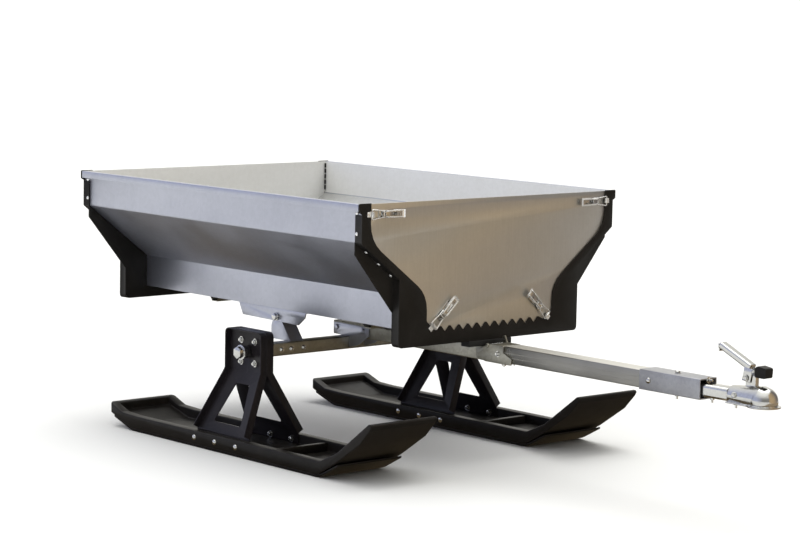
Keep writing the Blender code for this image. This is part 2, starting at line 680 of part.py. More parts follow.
def coupler_lever(group):
    """Channel-section hand lever, drawn raised as when the ball is released."""
    tail, head = Vector((1.512, 0.463)), Vector((1.612, 0.4165))
    along = (head - tail).normalized()
    up = Vector((-along.y, along.x))
    def at(s, n):
        return tuple(tail + along * s + up * n)
    length = (head - tail).length
    side_shape = [at(-0.003, -0.014), at(0.010, -0.011), at(length - 0.030, -0.012), (1.588, 0.388), (1.600, 0.380),
                  (1.6085, 0.4045), (1.634, 0.4045), (1.634, 0.412), at(length + 0.012, 0.012),
                  at(0.0, 0.012)]
    body = prism("coupler_lever", [side_shape], "XZ", -0.0145, 0.0145)
    channel = [at(-0.02, -0.030), at(length + 0.06, -0.030), at(length + 0.06, 0.0090), at(-0.02, 0.0090)]
    cut(body, prism("coupler_lever_channel", [channel], "XZ", -0.0118, 0.0118))
    return place(body, group, material(*ZINC))


def safety_catch(group):
    """Black moulded thumb catch in front of the lever."""
    shape = rounded([(1.6420, 0.3960, 0.004), (1.6780, 0.3950, 0.006), (1.6800, 0.4220, 0.006),
                     (1.6500, 0.4265, 0.006), (1.6420, 0.4180, 0.003)])
    body = prism("safety_catch", [shape], "XZ", -0.0150, 0.0150)
    soften(body, 0.003, 2, 50)
    return place(body, group, material(*GRIP))


def ball_clamp(group):
    """Jaw in the pocket behind the ball."""
    body = block("ball_clamp", (1.612, -0.0095, 0.3200), (1.634, 0.0095, 0.3440))
    soften(body, 0.002, 1)
    return place(body, group, material(*ZINC))


# ---------------------------------------------------------------- skis


def ski_side_outline():
    """Side view of the ski's body above its wear plate."""
    skin = 0.0075
    return rounded([
        (-0.5660, 0.0500, 0.006), (-0.4370, 0.0 + skin, 0.06), (0.4820, 0.0 + skin, 0.08),
        (0.5660, 0.0560, 0), (0.6650, 0.1220, 0), (0.7060, 0.1660, 0.006), (0.7180, 0.1850, 0.006),
        (0.7000, 0.1850, 0.006), (0.5640, 0.0830, 0.04), (0.4880, 0.0490, 0.05),
        (-0.4100, 0.0490, 0.05), (-0.4840, 0.0520, 0.03), (-0.5500, 0.0760, 0.006),
        (-0.5660, 0.0700, 0.004)], 4)


def ski_body(name, side, group):
    """Moulded ski: two broad side rails with a tray between them."""
    y0, y1 = sorted((side * (SKI_Y - SKI_HALF), side * (SKI_Y + SKI_HALF)))
    body = prism(name, [ski_side_outline()], "XZ", y0, y1)
    tray = rounded([(-0.5350, 0.0500, 0.006), (-0.4300, 0.0200, 0.06), (0.4850, 0.0200, 0.06),
                    (0.6250, 0.1060, 0), (0.6000, 0.1700, 0), (-0.5350, 0.1700, 0)], 4)
    inner = SKI_HALF - SKI_WALL
    t0, t1 = sorted((side * (SKI_Y - inner), side * (SKI_Y + inner)))
    cut(body, prism(name + "_tray", [tray], "XZ", t0, t1))
    for edge in (-1, 1):
        past = side * SKI_Y + edge * (SKI_HALF + 0.005)
        corner = [(-0.5700, past), (-0.5380, past), (-0.5700, past - edge * 0.0320)]
        cut(body, prism(f"{name}_corner_{edge}", [corner if edge < 0 else corner[::-1]], "XY", 0.0, 0.1))
    return place(body, group, material(*SKI_PLASTIC))


def wear_plate(name, side, group):
    """Replaceable sole under the ski, flat on the ground."""
    skin = 0.0072
    shape = rounded([(-0.5300, 0.0300, 0), (-0.4350, 0.0, 0.06), (0.4840, 0.0, 0.08), (0.5660, 0.0440, 0.002),
                     (0.5660, 0.0500, 0.001), (0.4818, skin, 0.08), (-0.4368, skin, 0.06), (-0.5310, 0.0372, 0)], 4)
    y0, y1 = sorted((side * (SKI_Y - SKI_HALF + 0.004), side * (SKI_Y + SKI_HALF - 0.004)))
    return place(prism(name, [shape], "XZ", y0, y1), group, material(*SKI_PLASTIC))


def cross_rib(name, side, group):
    """Stiffening rib across the ski's tray, in front of the tower."""
    inner = SKI_HALF - SKI_WALL - GAP
    y0, y1 = sorted((side * (SKI_Y - inner), side * (SKI_Y + inner)))
    rib = block(name, (0.245, y0, 0.0200 + GAP), (0.262, y1, 0.044))
    return place(rib, group, material(*SKI_PLASTIC))


def tower_bracket(name, side, outward, group):
    """Bent sheet of an A-shaped tower: upright web, splayed leg, foot and edge flanges.

    side picks the ski; outward is 1 for the sheet that leans away from the sled's
    middle and -1 for the one that leans towards it.
    """
    direction = side * outward
    foot_y = SKI_HALF - SKI_WALL - WEB - GAP
    foot_z, foot_low, flange = 0.052, 0.0215, 0.024
    top_half, foot_half = 0.0880, 0.1280

    def across(points):
        return [(SKI_Y * side + direction * u, v) for u, v in points]
    profile = [(GAP, TOWER_TOP + 0.01), (GAP, KNEE_Z), (foot_y, foot_z), (foot_y, foot_low)]
    sheet = profile + list(reversed(offset_right(profile, -WEB)))
    upper = profile[:3]
    depth = upper + list(reversed(offset_right(upper, -flange)))
    edge = rounded([(-foot_half, foot_low - 0.001, 0), (-foot_half, foot_z, 0), (-top_half, KNEE_Z, 0),
                    (-top_half, TOWER_TOP, 0.016), (top_half, TOWER_TOP, 0.016), (top_half, KNEE_Z, 0),
                    (foot_half, foot_z, 0), (foot_half, foot_low - 0.001, 0)], 3)
    rim = edge[1:-1] + list(reversed(offset_right(edge[1:-1], WEB)))
    y0, y1 = sorted((SKI_Y * side - direction * 0.01, SKI_Y * side + direction * 0.16))
    bracket = prism(name, [across(sheet)], "YZ", -0.140, 0.140)
    combine(bracket, prism(name + "_edge", [edge], "XZ", y0, y1), "INTERSECT")
    band = prism(name + "_band", [rim], "XZ", y0, y1)
    combine(band, prism(name + "_depth", [across(depth)], "YZ", -0.150, 0.150), "INTERSECT")
    join(bracket, band)
    window = rounded([(-0.066, 0.080, 0.006), (0.066, 0.080, 0.006), (0.032, 0.196, 0.006),
                      (-0.032, 0.196, 0.006)], 2)
    cut(bracket, prism(name + "_window", [window], "XZ", y0, y1))
    near, far = (0, SKI_Y * side - 0.02, AXLE_Z), (0, SKI_Y * side + 0.02, AXLE_Z)
    cut(bracket, rod(name + "_hole", near, far, SHAFT_RADIUS + 0.0006, 20))
    return place(bracket, group, material(*BLACK_TOWER))


def tower_hub(name, side, group):
    """Square bearing flange on the tower's inner web."""
    start = SKI_Y - WEB - 2 * GAP - 0.0002

    def at(y):
        return (0, side * y, AXLE_Z)
    y0, y1 = sorted((side * start, side * (start - 0.008)))
    loop = rectangle(-0.046, AXLE_Z - 0.046, 0.046, AXLE_Z + 0.046, 0.010)
    hub = prism(name, [loop], "XZ", y0, y1)
    join(hub, rod(name + "_boss", at(start - 0.006), at(start - 0.028), 0.0300))
    cut(hub, rod(name + "_bore", at(start + 0.01), at(start - 0.05), SHAFT_RADIUS + 0.0006, 20))
    return place(hub, group, material(*HOT_DIP))


# ---------------------------------------------------------------- assembly


def build_box():
    group = empty("box_pivot", TIP_PIVOT, ROOT)
    box_side("box_side_left", 1, group)
    box_side("box_side_right", -1, group)
    box_floor(group)
    floor_rib("floor_rib_front", 0.330, group)
    floor_rib("floor_rib_rear", -0.420, group)
    tip_bracket("tip_bracket_left", 1, group)
    tip_bracket("tip_bracket_right", -1, group)
    lever_mesh = latch_lever_mesh()
    bail_mesh = latch_bail_mesh()
    for end, label in ((1, "front"), (-1, "rear")):
        end_frame(label + "_frame", end, group)
        end_panel(label + "_panel", end, group)
        latches(end, label, lever_mesh, bail_mesh, group)


def build_chassis():
    axle_beam()
    spine()
    drawbar()
    lock_block()
    stop_pad()
    drawbar_sleeve()
    coupler_shank()
    coupler_body()
    for side, label in ((1, "left"), (-1, "right")):
        upright("upright_" + label, side)
        pivot_bolt("pivot_bolt_" + label, side)
        axle_bolt("axle_bolt_" + label, side)
        spine_gusset("spine_gusset_" + label, side)


def build_moving():
    coupler_lever(empty("coupler_lever_pivot", LEVER_PIVOT, ROOT))
    safety_catch(empty("safety_catch_pivot", CATCH_PIVOT, ROOT))
    ball_clamp(empty("ball_clamp_pivot", CLAMP_PIVOT, ROOT))
    tip_lock(empty("tip_lock_pivot", LOCK_PIVOT, ROOT))


def build_skis():
    for side, label in ((1, "left"), (-1, "right")):
        group = empty("ski_pivot_" + label, (0, side * SKI_Y, AXLE_Z), ROOT)
        ski_body("ski_" + label, side, group)
        wear_plate("wear_plate_" + label, side, group)
        cross_rib("cross_rib_" + label, side, group)
        tower_bracket("tower_outer_" + label, side, 1, group)
        tower_bracket("tower_inner_" + label, side, -1, group)
        tower_hub("tower_hub_" + label, side, group)


clear_scene()
PARTS = make_collection("tow_behind_spreader")
CUTTERS = make_collection("cutters")
CENTRE_X = (BALL.x + FLARE_RADIUS + panel_plane(-1)[0] - LATCH_TOP) / 2
ROOT = bpy.data.objects.new("sled_root", None)
PARTS.objects.link(ROOT)
ROOT["place"] = (0.0, 0.0, 0.0)
build_box()
build_chassis()
build_moving()
build_skis()
ROOT.location.x = -CENTRE_X
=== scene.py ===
"""Finished look of a tow-behind grit and dump box carried on two pivoting skis.

Laid out as a Blender add-on: sizes and colours are properties, each group of pieces
has an operator, and main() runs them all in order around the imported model.
Metres throughout. X runs forward along the drawbar, Y to the left, Z up.
"""
import json
import math

import bpy
from bpy.props import FloatProperty, FloatVectorProperty, IntProperty, PointerProperty
from mathutils import Matrix, Vector


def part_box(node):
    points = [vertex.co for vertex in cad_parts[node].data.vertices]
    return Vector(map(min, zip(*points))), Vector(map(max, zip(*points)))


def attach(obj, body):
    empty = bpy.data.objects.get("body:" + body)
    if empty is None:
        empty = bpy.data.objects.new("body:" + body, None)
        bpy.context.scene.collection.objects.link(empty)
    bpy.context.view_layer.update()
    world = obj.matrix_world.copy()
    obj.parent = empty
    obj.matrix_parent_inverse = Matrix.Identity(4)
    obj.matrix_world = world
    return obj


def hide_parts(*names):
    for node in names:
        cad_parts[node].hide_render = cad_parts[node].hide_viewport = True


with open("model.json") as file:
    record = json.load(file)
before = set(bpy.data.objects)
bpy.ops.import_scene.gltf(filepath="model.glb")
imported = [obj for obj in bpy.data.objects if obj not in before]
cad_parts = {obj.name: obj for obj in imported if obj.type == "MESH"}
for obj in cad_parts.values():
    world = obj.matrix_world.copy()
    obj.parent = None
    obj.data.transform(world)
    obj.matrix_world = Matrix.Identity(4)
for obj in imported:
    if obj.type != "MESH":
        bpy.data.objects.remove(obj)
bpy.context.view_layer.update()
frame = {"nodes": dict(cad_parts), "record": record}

bl_info = {
    "name": "Tow-behind grit box",
    "version": (1, 0, 0),
    "blender": (4, 5, 0),
    "location": "View3D > Sidebar > Grit box",
    "description": "Surface finishes, fasteners and small fittings of a grit box on skis",
    "category": "Object",
}

UPRIGHT = math.radians(90)
SIDES = (("left", 1), ("right", -1))
ENDS = (("front", 1), ("rear", -1))
AXLE_X = sum(corner.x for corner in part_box("axle_beam")) / 2
AXLE_Z = sum(corner.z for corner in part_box("axle_beam")) / 2
BODY_OF = {node: body for body, nodes in frame["record"]["behaviour"]["bodies"].items() for node in nodes}
SLOT_OF = {row["node"]: row["material_slot"] for row in frame["record"]["subparts"]}

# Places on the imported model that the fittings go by. Heights are above the ski soles.
RIM_TUCK_Z = 0.7785                # underside of the rolled rim
FOLD_HIGH_Z = 0.681                # the side turns from its slope to its upper wall
SLOPE_FOOT = (0.2726, 0.5095)      # half width and height at the slope's lower fold
SLOPE_RISE = 0.1715 / 0.2241
SLOPE_OUT = (0.608, -0.794)        # square to the slope's outer face, across and up
BOLT_RING = 0.033                  # tower bolts, from the axle both ways
LOCK_PIN = (0.646, 0.0, 0.360)
BALL_Z = 0.334
SOCKET_RADIUS = 0.0257
DOME_RADIUS = 0.0385
FLARE_RADIUS = 0.0460
FLANGE_LOW_Z = 0.3180              # bottom of the ball housing's flange
LEVER_TAIL = Vector((1.5125, 0.4670))
LEVER_HEAD = Vector((1.6230, 0.4170))
LATCH_PLATE = 0.0131               # height of a closed latch's plate above its panel


def colour_property(name, text, default):
    return FloatVectorProperty(name=name, description=text, default=default, size=3,
                               min=0.0, max=1.0, subtype="COLOR")


def length_property(name, text, default):
    return FloatProperty(name=name, description=text, default=default, min=0.0,
                         unit="LENGTH", subtype="DISTANCE")


class GritBoxColours(bpy.types.PropertyGroup):
    """Base colour of each finish."""
    side_sheet: colour_property("Side sheet", "Galvanised side sheets", (0.42, 0.435, 0.50))
    end_sheet: colour_property("End sheet", "Brushed end panels", (0.56, 0.555, 0.535))
    frame_coat: colour_property("Frame coat", "Powder coat of the end frames", (0.009, 0.008, 0.007))
    tower_coat: colour_property("Tower coat", "Powder coat of the ski towers", (0.012, 0.010, 0.012))
    ski: colour_property("Ski", "Moulded skis", (0.010, 0.0085, 0.0075))
    dipped: colour_property("Dipped steel", "Hot-dipped tubes", (0.36, 0.35, 0.30))
    aluminium: colour_property("Aluminium", "Drawbar extrusion", (0.27, 0.265, 0.25))
    # Painted light: a paler copy of the galvanised sheet that paints the inner walls brighter than the same
    # sheet outside, for the light inside the box.
    inner_walls_painted_bright: colour_property("Inner sheet", "Painted-bright inner faces of the box", (0.93, 0.93, 0.89))
    zinc: colour_property("Zinc", "Bright plated fittings", (0.56, 0.56, 0.545))
    # Painted light: a paler, half-metallic copy of the galvanised sheet whose tone is set for the overhead
    # light on the box's slopes and floor.
    inner_low_painted_light: colour_property("Inner low", "Painted-light slopes and floor of the box", (0.60, 0.605, 0.60))
    wire: colour_property("Wire", "Latch loops, keepers and rivets", (0.84, 0.84, 0.82))
    dull_zinc: colour_property("Dull zinc", "Drawbar sleeve", (0.33, 0.335, 0.36))
    # Painted light: a paler, less metallic copy of the aluminium that paints the drawbar's top lighter than
    # its sides, for the light from above.
    drawbar_top_painted_light: colour_property("Painted-highlight", "Top of the drawbar", (0.56, 0.545, 0.50))
    rubber: colour_property("Rubber", "Stop pad and seams", (0.018, 0.018, 0.018))
    grip: colour_property("Grip", "Moulded thumb catch", (0.010, 0.009, 0.009))
    floor: colour_property("Floor", "Studio floor", (0.80, 0.80, 0.79))


class GritBoxSizes(bpy.types.PropertyGroup):
    """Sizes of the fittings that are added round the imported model."""
    rivet: length_property("Rivet", "Radius of a frame rivet's head", 0.0056)
    small_bolt: length_property("Small bolt", "Radius of a small bolt's head over its corners", 0.0078)
    ski_bolt: length_property("Ski bolt", "Radius of the domed bolts along a ski's wall", 0.0088)
    washer: length_property("Washer", "Thickness of a washer", 0.0012)
    keeper: length_property("Keeper", "Width of a latch's keeper", 0.0150)
    seam_tabs: IntProperty(name="Seam tabs", description="Dark tabs down each inner corner", default=5, min=1)


# ---------------------------------------------------------------- modelling helpers


def sizes():
    return bpy.context.scene.grit_box_sizes


def colours():
    return bpy.context.scene.grit_box_colours


def at(x, y, z):
    """Point given from the axle line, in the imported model's frame."""
    return Vector((x + AXLE_X, y, z))


def activate(piece):
    """Make this the only selected object, and the active one."""
    bpy.ops.object.select_all(action="DESELECT")
    piece.select_set(True)
    bpy.context.view_layer.objects.active = piece
    return piece


def choose(piece, kind, test):
    """Go to edit mode with only the faces, edges or vertices that pass the test selected."""
    activate(piece)
    bpy.ops.object.mode_set(mode="EDIT")
    bpy.ops.mesh.select_mode(type=kind)
    bpy.ops.mesh.select_all(action="DESELECT")
    bpy.ops.object.mode_set(mode="OBJECT")
    mesh = piece.data
    items = {"FACE": mesh.polygons, "EDGE": mesh.edges, "VERT": mesh.vertices}[kind]
    for item in items:
        item.select = test(item)
    bpy.ops.object.mode_set(mode="EDIT")


def leave_edit():
    bpy.ops.object.mode_set(mode="OBJECT")


def apply_place(piece):
    """Put the object at the origin, unturned and unscaled, with its place in its mesh."""
    activate(piece)
    bpy.ops.object.transform_apply(location=True, rotation=True, scale=True)
    return piece


def smooth(piece, angle=35):
    activate(piece)
    bpy.ops.object.shade_smooth_by_angle(angle=math.radians(angle))
    return piece


def modify(piece, kind, name, **settings):
    """Add a modifier with these settings and apply it."""
    activate(piece)
    step = piece.modifiers.new(name, kind)
    for key, value in settings.items():
        setattr(step, key, value)
    bpy.ops.object.modifier_apply(modifier=step.name)
    return piece


def round_edges(piece, width, segments=2, angle=35):
    """Round every edge sharper than the angle."""
    return modify(piece, "BEVEL", "Rounded edges", width=width, segments=segments, limit_method="ANGLE",
                  angle_limit=math.radians(angle), use_clamp_overlap=True)


def subtract(piece, cutter):
    """Cut one object out of another and remove it."""
    modify(piece, "BOOLEAN", "Cut", operation="DIFFERENCE", object=cutter)
    bpy.data.objects.remove(cutter)


def primitive(kind, **settings):
    """New mesh primitive, with nothing else selected."""
    bpy.ops.object.select_all(action="DESELECT")
    getattr(bpy.ops.mesh, f"primitive_{kind}_add")(**settings)
    return bpy.context.object


def rounded_primitive(kind, width, segments=1, **settings):
    """Primitive with its place in its mesh and its edges rounded."""
    return round_edges(apply_place(primitive(kind, **settings)), width, segments)


def join(pieces, name):
    """Join several objects into the first and name it."""
    activate(pieces[0])
    for piece in pieces:
        piece.select_set(True)
    if len(pieces) > 1:
        bpy.ops.object.join()
    pieces[0].name = name
    return pieces[0]


def finish_piece(piece, body, slot, replaced=(), finish=None):
    """Give a piece its body, its slot and that slot's finish or another."""
    piece.data.materials.clear()
    piece.data.materials.append(SURFACES[finish or slot])
    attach(piece, body)
    if replaced:
        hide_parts(*replaced)
    return piece


def plated(piece, body, finish="zinc"):
    """Finish a small fitting of the plated kind."""
    return finish_piece(piece, body, "zinc", (), finish)


def dressed(node, finish=None, width=0.0006, segments=2, angle=35):
    """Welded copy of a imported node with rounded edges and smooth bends, which stands for it."""
    piece = bpy.data.objects.new(node + "_dressed", frame["nodes"][node].data.copy())
    bpy.context.scene.collection.objects.link(piece)
    activate(piece)
    bpy.ops.mesh.customdata_custom_splitnormals_clear()
    bpy.ops.object.mode_set(mode="EDIT")
    bpy.ops.mesh.select_all(action="SELECT")
    bpy.ops.mesh.remove_doubles(threshold=0.00002)
    bpy.ops.mesh.dissolve_limited(angle_limit=math.radians(0.6))
    leave_edit()
    smooth(round_edges(piece, width, segments, angle), 35)
    return finish_piece(piece, BODY_OF[node], SLOT_OF[node], (node,), finish)


def paint(piece, surface, test):
    """Give the faces that pass the test another finish."""
    piece.data.materials.append(SURFACES[surface])
    choose(piece, "FACE", test)
    piece.active_material_index = len(piece.data.materials) - 1
    bpy.ops.object.material_slot_assign()
    leave_edit()


def stamp(form, name, spots):
    """Copy a form, which points up at the origin, to each (point, direction) and join the copies."""
    copies = []
    for point, direction in spots:
        copy = bpy.data.objects.new(name, form.data.copy())
        bpy.context.scene.collection.objects.link(copy)
        turn = Vector(direction).to_track_quat("Z", "Y").to_matrix().to_4x4()
        copy.matrix_world = Matrix.Translation(point) @ turn
        copies.append(copy)
    for copy in copies:
        apply_place(copy)
    bpy.data.objects.remove(form)
    return join(copies, name)


def hex_head(radius, height, thread=0.0):
    """Hexagon head on a washer, with its chamfer and any thread end above it."""
    washer = sizes().washer
    form = apply_place(primitive("cylinder", vertices=24, radius=radius * 1.32, depth=washer,
                                 location=(0, 0, washer / 2)))
    form.name = "hex_head_form"
    bpy.ops.object.mode_set(mode="EDIT")
    bpy.ops.mesh.primitive_cylinder_add(vertices=6, radius=radius, depth=height,
                                        location=(0, 0, washer + height / 2))
    leave_edit()
    top = washer + height - 0.00001
    choose(form, "FACE", lambda face: face.center.z > top and face.normal.z > 0.9)
    bpy.ops.mesh.inset(thickness=radius * 0.16, depth=radius * 0.10)
    bpy.ops.mesh.inset(thickness=radius * 0.20, depth=-radius * 0.05)
    if thread:
        bpy.ops.mesh.select_all(action="DESELECT")
        bpy.ops.mesh.primitive_cylinder_add(vertices=14, radius=radius * 0.5, depth=thread,
                                            location=(0, 0, washer + height + thread / 2))
    leave_edit()
    return smooth(form, 30)


def dome_head(radius, height):
    """Low domed head, like a rivet's or a carriage bolt's, on a thin flange."""
    form = primitive("uv_sphere", segments=18, ring_count=10, radius=radius)
    form.name = "dome_head_form"
    bpy.ops.object.mode_set(mode="EDIT")
    bpy.ops.mesh.select_all(action="SELECT")
    bpy.ops.mesh.bisect(plane_co=(0, 0, radius * 0.05), plane_no=(0, 0, 1), use_fill=True, clear_inner=True)
    bpy.ops.mesh.select_all(action="SELECT")
    bpy.ops.transform.resize(value=(1, 1, height / radius), center_override=(0, 0, 0))
    leave_edit()
    return smooth(form, 50)


def bent_strip(name, width, points, thickness):
    """Strip of sheet, bent along its points (s, n) and standing across the other axis."""
    strip = primitive("plane", size=1.0)
    strip.name = name
    start, second = points[0], points[1]
    for vertex in strip.data.vertices:
        along, out = second if vertex.co.x > 0 else start
        vertex.co = (along, math.copysign(width / 2, vertex.co.y), out)
    ends = {v.index for v in strip.data.vertices if (v.co.x, v.co.z) == tuple(strip.data.vertices[1].co.xz)}
    choose(strip, "EDGE", lambda edge: set(edge.vertices) <= ends)
    for before, after in zip(points[1:], points[2:]):
        move = (after[0] - before[0], 0.0, after[1] - before[1])
        bpy.ops.mesh.extrude_region_move(TRANSFORM_OT_translate={"value": move})
    bpy.ops.mesh.select_all(action="SELECT")
    bpy.ops.mesh.normals_make_consistent(inside=False)
    leave_edit()
    modify(strip, "SOLIDIFY", "Thickness", thickness=thickness, offset=0.0)
    round_edges(strip, thickness * 0.22, 1, 30)
    return strip


# ---------------------------------------------------------------- shader helpers


def add(tree, kind, settings=None, inputs=None):
    """New shader node with its settings, and each input either linked or set."""
    made = tree.nodes.new("ShaderNode" + kind)
    for key, value in (settings or {}).items():
        setattr(made, key, value)
    for key, value in (inputs or {}).items():
        if isinstance(value, bpy.types.NodeSocket):
            tree.links.new(value, made.inputs[key])
        else:
            made.inputs[key].default_value = value
    return made


def calc(tree, operation, first, second=0.0, clamp=False):
    made = add(tree, "Math", {"operation": operation, "use_clamp": clamp}, {0: first, 1: second})
    return made.outputs[0]


def spread(tree, value, low, high, to_low=0.0, to_high=1.0):
    """Value moved from one range to another and kept inside it."""
    made = add(tree, "MapRange", None, {0: value, 1: low, 2: high, 3: to_low, 4: to_high})
    return made.outputs[0]


def mix_colour(tree, factor, first, second):
    made = add(tree, "Mix", {"data_type": "RGBA"}, {0: factor, 6: first, 7: second})
    return made.outputs[2]


def new_group(name, inputs, outputs):
    """Shader node group with named sockets; returns its tree, its inputs and its output node."""
    tree = bpy.data.node_groups.new(name, "ShaderNodeTree")
    for label, default in inputs:
        kind = "NodeSocketVector" if isinstance(default, tuple) else "NodeSocketFloat"
        socket = tree.interface.new_socket(label, in_out="INPUT", socket_type=kind)
        socket.default_value = default
    for label in outputs:
        tree.interface.new_socket(label, in_out="OUTPUT", socket_type="NodeSocketFloat")
    source = tree.nodes.new("NodeGroupInput")
    return tree, source.outputs, tree.nodes.new("NodeGroupOutput")


def use(tree, group, inputs):
    """First output of a node group that is given these inputs."""
    return add(tree, "Group", {"node_tree": group}, inputs).outputs[0]


def connect(tree, shader, colour, roughness, relief, strength, distance):
    """Link a finish's colour, roughness and fine relief to its shader."""
    bump = add(tree, "Bump", None, {"Strength": strength, "Distance": distance, "Height": relief})
    tree.links.new(colour, shader.inputs["Base Color"])
    tree.links.new(roughness, shader.inputs["Roughness"])
    tree.links.new(bump.outputs[0], shader.inputs["Normal"])


def give_mask(tree, result, amount, *factors):
    """Multiply the factors and the amount into the group's mask."""
    mask = factors[0]
    for factor in factors[1:]:
        mask = calc(tree, "MULTIPLY", mask, factor)
    tree.links.new(calc(tree, "MULTIPLY", mask, amount, True), result.inputs["Mask"])


def grain_group():
    """Noise stretched along the axes: rolling lines, brushing, orange peel or moulded texture."""
    tree, given, result = new_group("Grain", (("Stretch", (1.0, 1.0, 1.0)), ("Scale", 100.0),
                                              ("Detail", 3.0)), ("Value",))
    place = add(tree, "TexCoord").outputs["Object"]
    turned = add(tree, "VectorMath", {"operation": "MULTIPLY"}, {0: place, 1: given["Stretch"]})
    noise = add(tree, "TexNoise", None, {"Vector": turned.outputs[0], "Scale": given["Scale"],
                                         "Detail": given["Detail"], "Roughness": 0.55})
    tree.links.new(noise.outputs[0], result.inputs["Value"])
    return tree


def spangle_group():
    """Zinc crystals: each cell has its own tone."""
    tree, given, result = new_group("Spangle", (("Scale", 70.0), ("Warp", 0.3)), ("Tone",))
    place = add(tree, "TexCoord").outputs["Object"]
    wobble = add(tree, "TexNoise", None, {"Vector": place, "Scale": 40.0, "Detail": 2.0})
    shift = add(tree, "VectorMath", {"operation": "SCALE"}, {0: wobble.outputs["Color"]})
    reach = calc(tree, "DIVIDE", given["Warp"], given["Scale"])
    tree.links.new(reach, shift.inputs["Scale"])
    moved = add(tree, "VectorMath", {"operation": "ADD"}, {0: place, 1: shift.outputs[0]})
    cells = add(tree, "TexVoronoi", None, {"Vector": moved.outputs[0], "Scale": given["Scale"]})
    tone = add(tree, "SeparateColor", None, {0: cells.outputs["Color"]})
    tree.links.new(tone.outputs[0], result.inputs["Tone"])
    return tree


def wear_group():
    """Mask of rubbed edges, broken up by noise."""
    tree, given, result = new_group("Edge wear", (("Reach", 0.002), ("Amount", 0.5),
                                                  ("Break up", 60.0)), ("Mask",))
    soft = add(tree, "Bevel", {"samples": 4}, {"Radius": given["Reach"]})
    flat = add(tree, "NewGeometry").outputs["Normal"]
    close = add(tree, "VectorMath", {"operation": "DOT_PRODUCT"}, {0: soft.outputs[0], 1: flat})
    edge = spread(tree, close.outputs["Value"], 0.995, 0.86)
    place = add(tree, "TexCoord").outputs["Object"]
    noise = add(tree, "TexNoise", None, {"Vector": place, "Scale": given["Break up"], "Detail": 4.0})
    broken = spread(tree, noise.outputs[0], 0.35, 0.65)
    give_mask(tree, result, given["Amount"], edge, broken)
    return tree


def dust_group():
    """Mask of dust that lies on upward faces and gathers low down."""
    tree, given, result = new_group("Dust", (("Amount", 0.3), ("Full height", 0.0),
                                             ("Clear height", 0.3), ("Scale", 14.0)), ("Mask",))
    place = add(tree, "TexCoord").outputs["Object"]
    height = add(tree, "SeparateXYZ", None, {0: place}).outputs["Z"]
    low = add(tree, "MapRange", None, {0: height, 1: given["Full height"], 2: given["Clear height"],
                                       3: 1.0, 4: 0.35}).outputs[0]
    up = add(tree, "SeparateXYZ", None, {0: add(tree, "NewGeometry").outputs["Normal"]}).outputs["Z"]
    facing = spread(tree, up, 0.0, 1.0, 0.25, 1.0)
    noise = add(tree, "TexNoise", None, {"Vector": place, "Scale": given["Scale"], "Detail": 6.0,
                                         "Roughness": 0.65})
    cloud = spread(tree, noise.outputs[0], 0.38, 0.72)
    give_mask(tree, result, given["Amount"], low, facing, cloud)
    return tree


def scuff_group():
    """Mask of thin rubbed streaks."""
    tree, given, result = new_group("Scuffs", (("Stretch", (1.0, 8.0, 8.0)), ("Scale", 12.0),
                                               ("Amount", 0.4)), ("Mask",))
    place = add(tree, "TexCoord").outputs["Object"]
    drawn = add(tree, "VectorMath", {"operation": "MULTIPLY"}, {0: place, 1: given["Stretch"]})
    lines = add(tree, "TexNoise", None, {"Vector": drawn.outputs[0], "Scale": given["Scale"],
                                         "Detail": 7.0, "Roughness": 0.7})
    where = add(tree, "TexNoise", None, {"Vector": place, "Scale": 3.0, "Detail": 2.0})
    thin = spread(tree, lines.outputs[0], 0.58, 0.70)
    patch = spread(tree, where.outputs[0], 0.42, 0.62)
    give_mask(tree, result, given["Amount"], thin, patch)
    return tree


EFFECTS = {}
SURFACES = {}

# Where each latch's loop hooks on, and which way the latch runs from there.
LATCH_SPOTS = {"top_left": (0.468, 0.760, 180), "top_right": (-0.468, 0.760, 0),
               "low_left": (0.229, 0.427, 137), "low_right": (-0.229, 0.427, 43)}


def face_x(end, sign):
    """Outer face of an end frame."""
    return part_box(end + "_frame")[1 if sign > 0 else 0].x


def latch_place(end, sign, y, z, angle):
    """Matrix of a latch: first axis along it, second across it, third out of the end panel."""
    out = Vector((sign, 0.0, 0.0))
    along = Vector((0.0, math.cos(math.radians(angle)), math.sin(math.radians(angle))))
    panel = Vector((face_x(end, sign) - sign * 0.0033, y, z))
    return Matrix.Translation(panel) @ Matrix((along, out.cross(along), out)).transposed().to_4x4()


def effect(name, maker):
    """Each shared effect is built once."""
    if name not in EFFECTS:
        EFFECTS[name] = maker()
    return EFFECTS[name]


def grained(tree, scale, detail, stretch=(1.0, 1.0, 1.0)):
    """Shared noise at this scale; a stretch draws it out along an axis."""
    return use(tree, effect("grain", grain_group), {"Stretch": stretch, "Scale": scale, "Detail": detail})


def shader_of(name):
    """New material and its main shader, with the constants left to the caller."""
    surface = bpy.data.materials.new(name)
    surface.use_nodes = True
    return surface, surface.node_tree, surface.node_tree.nodes["Principled BSDF"]


def toned(colour, factor):
    return tuple(min(1.0, part * factor) for part in colour) + (1.0,)


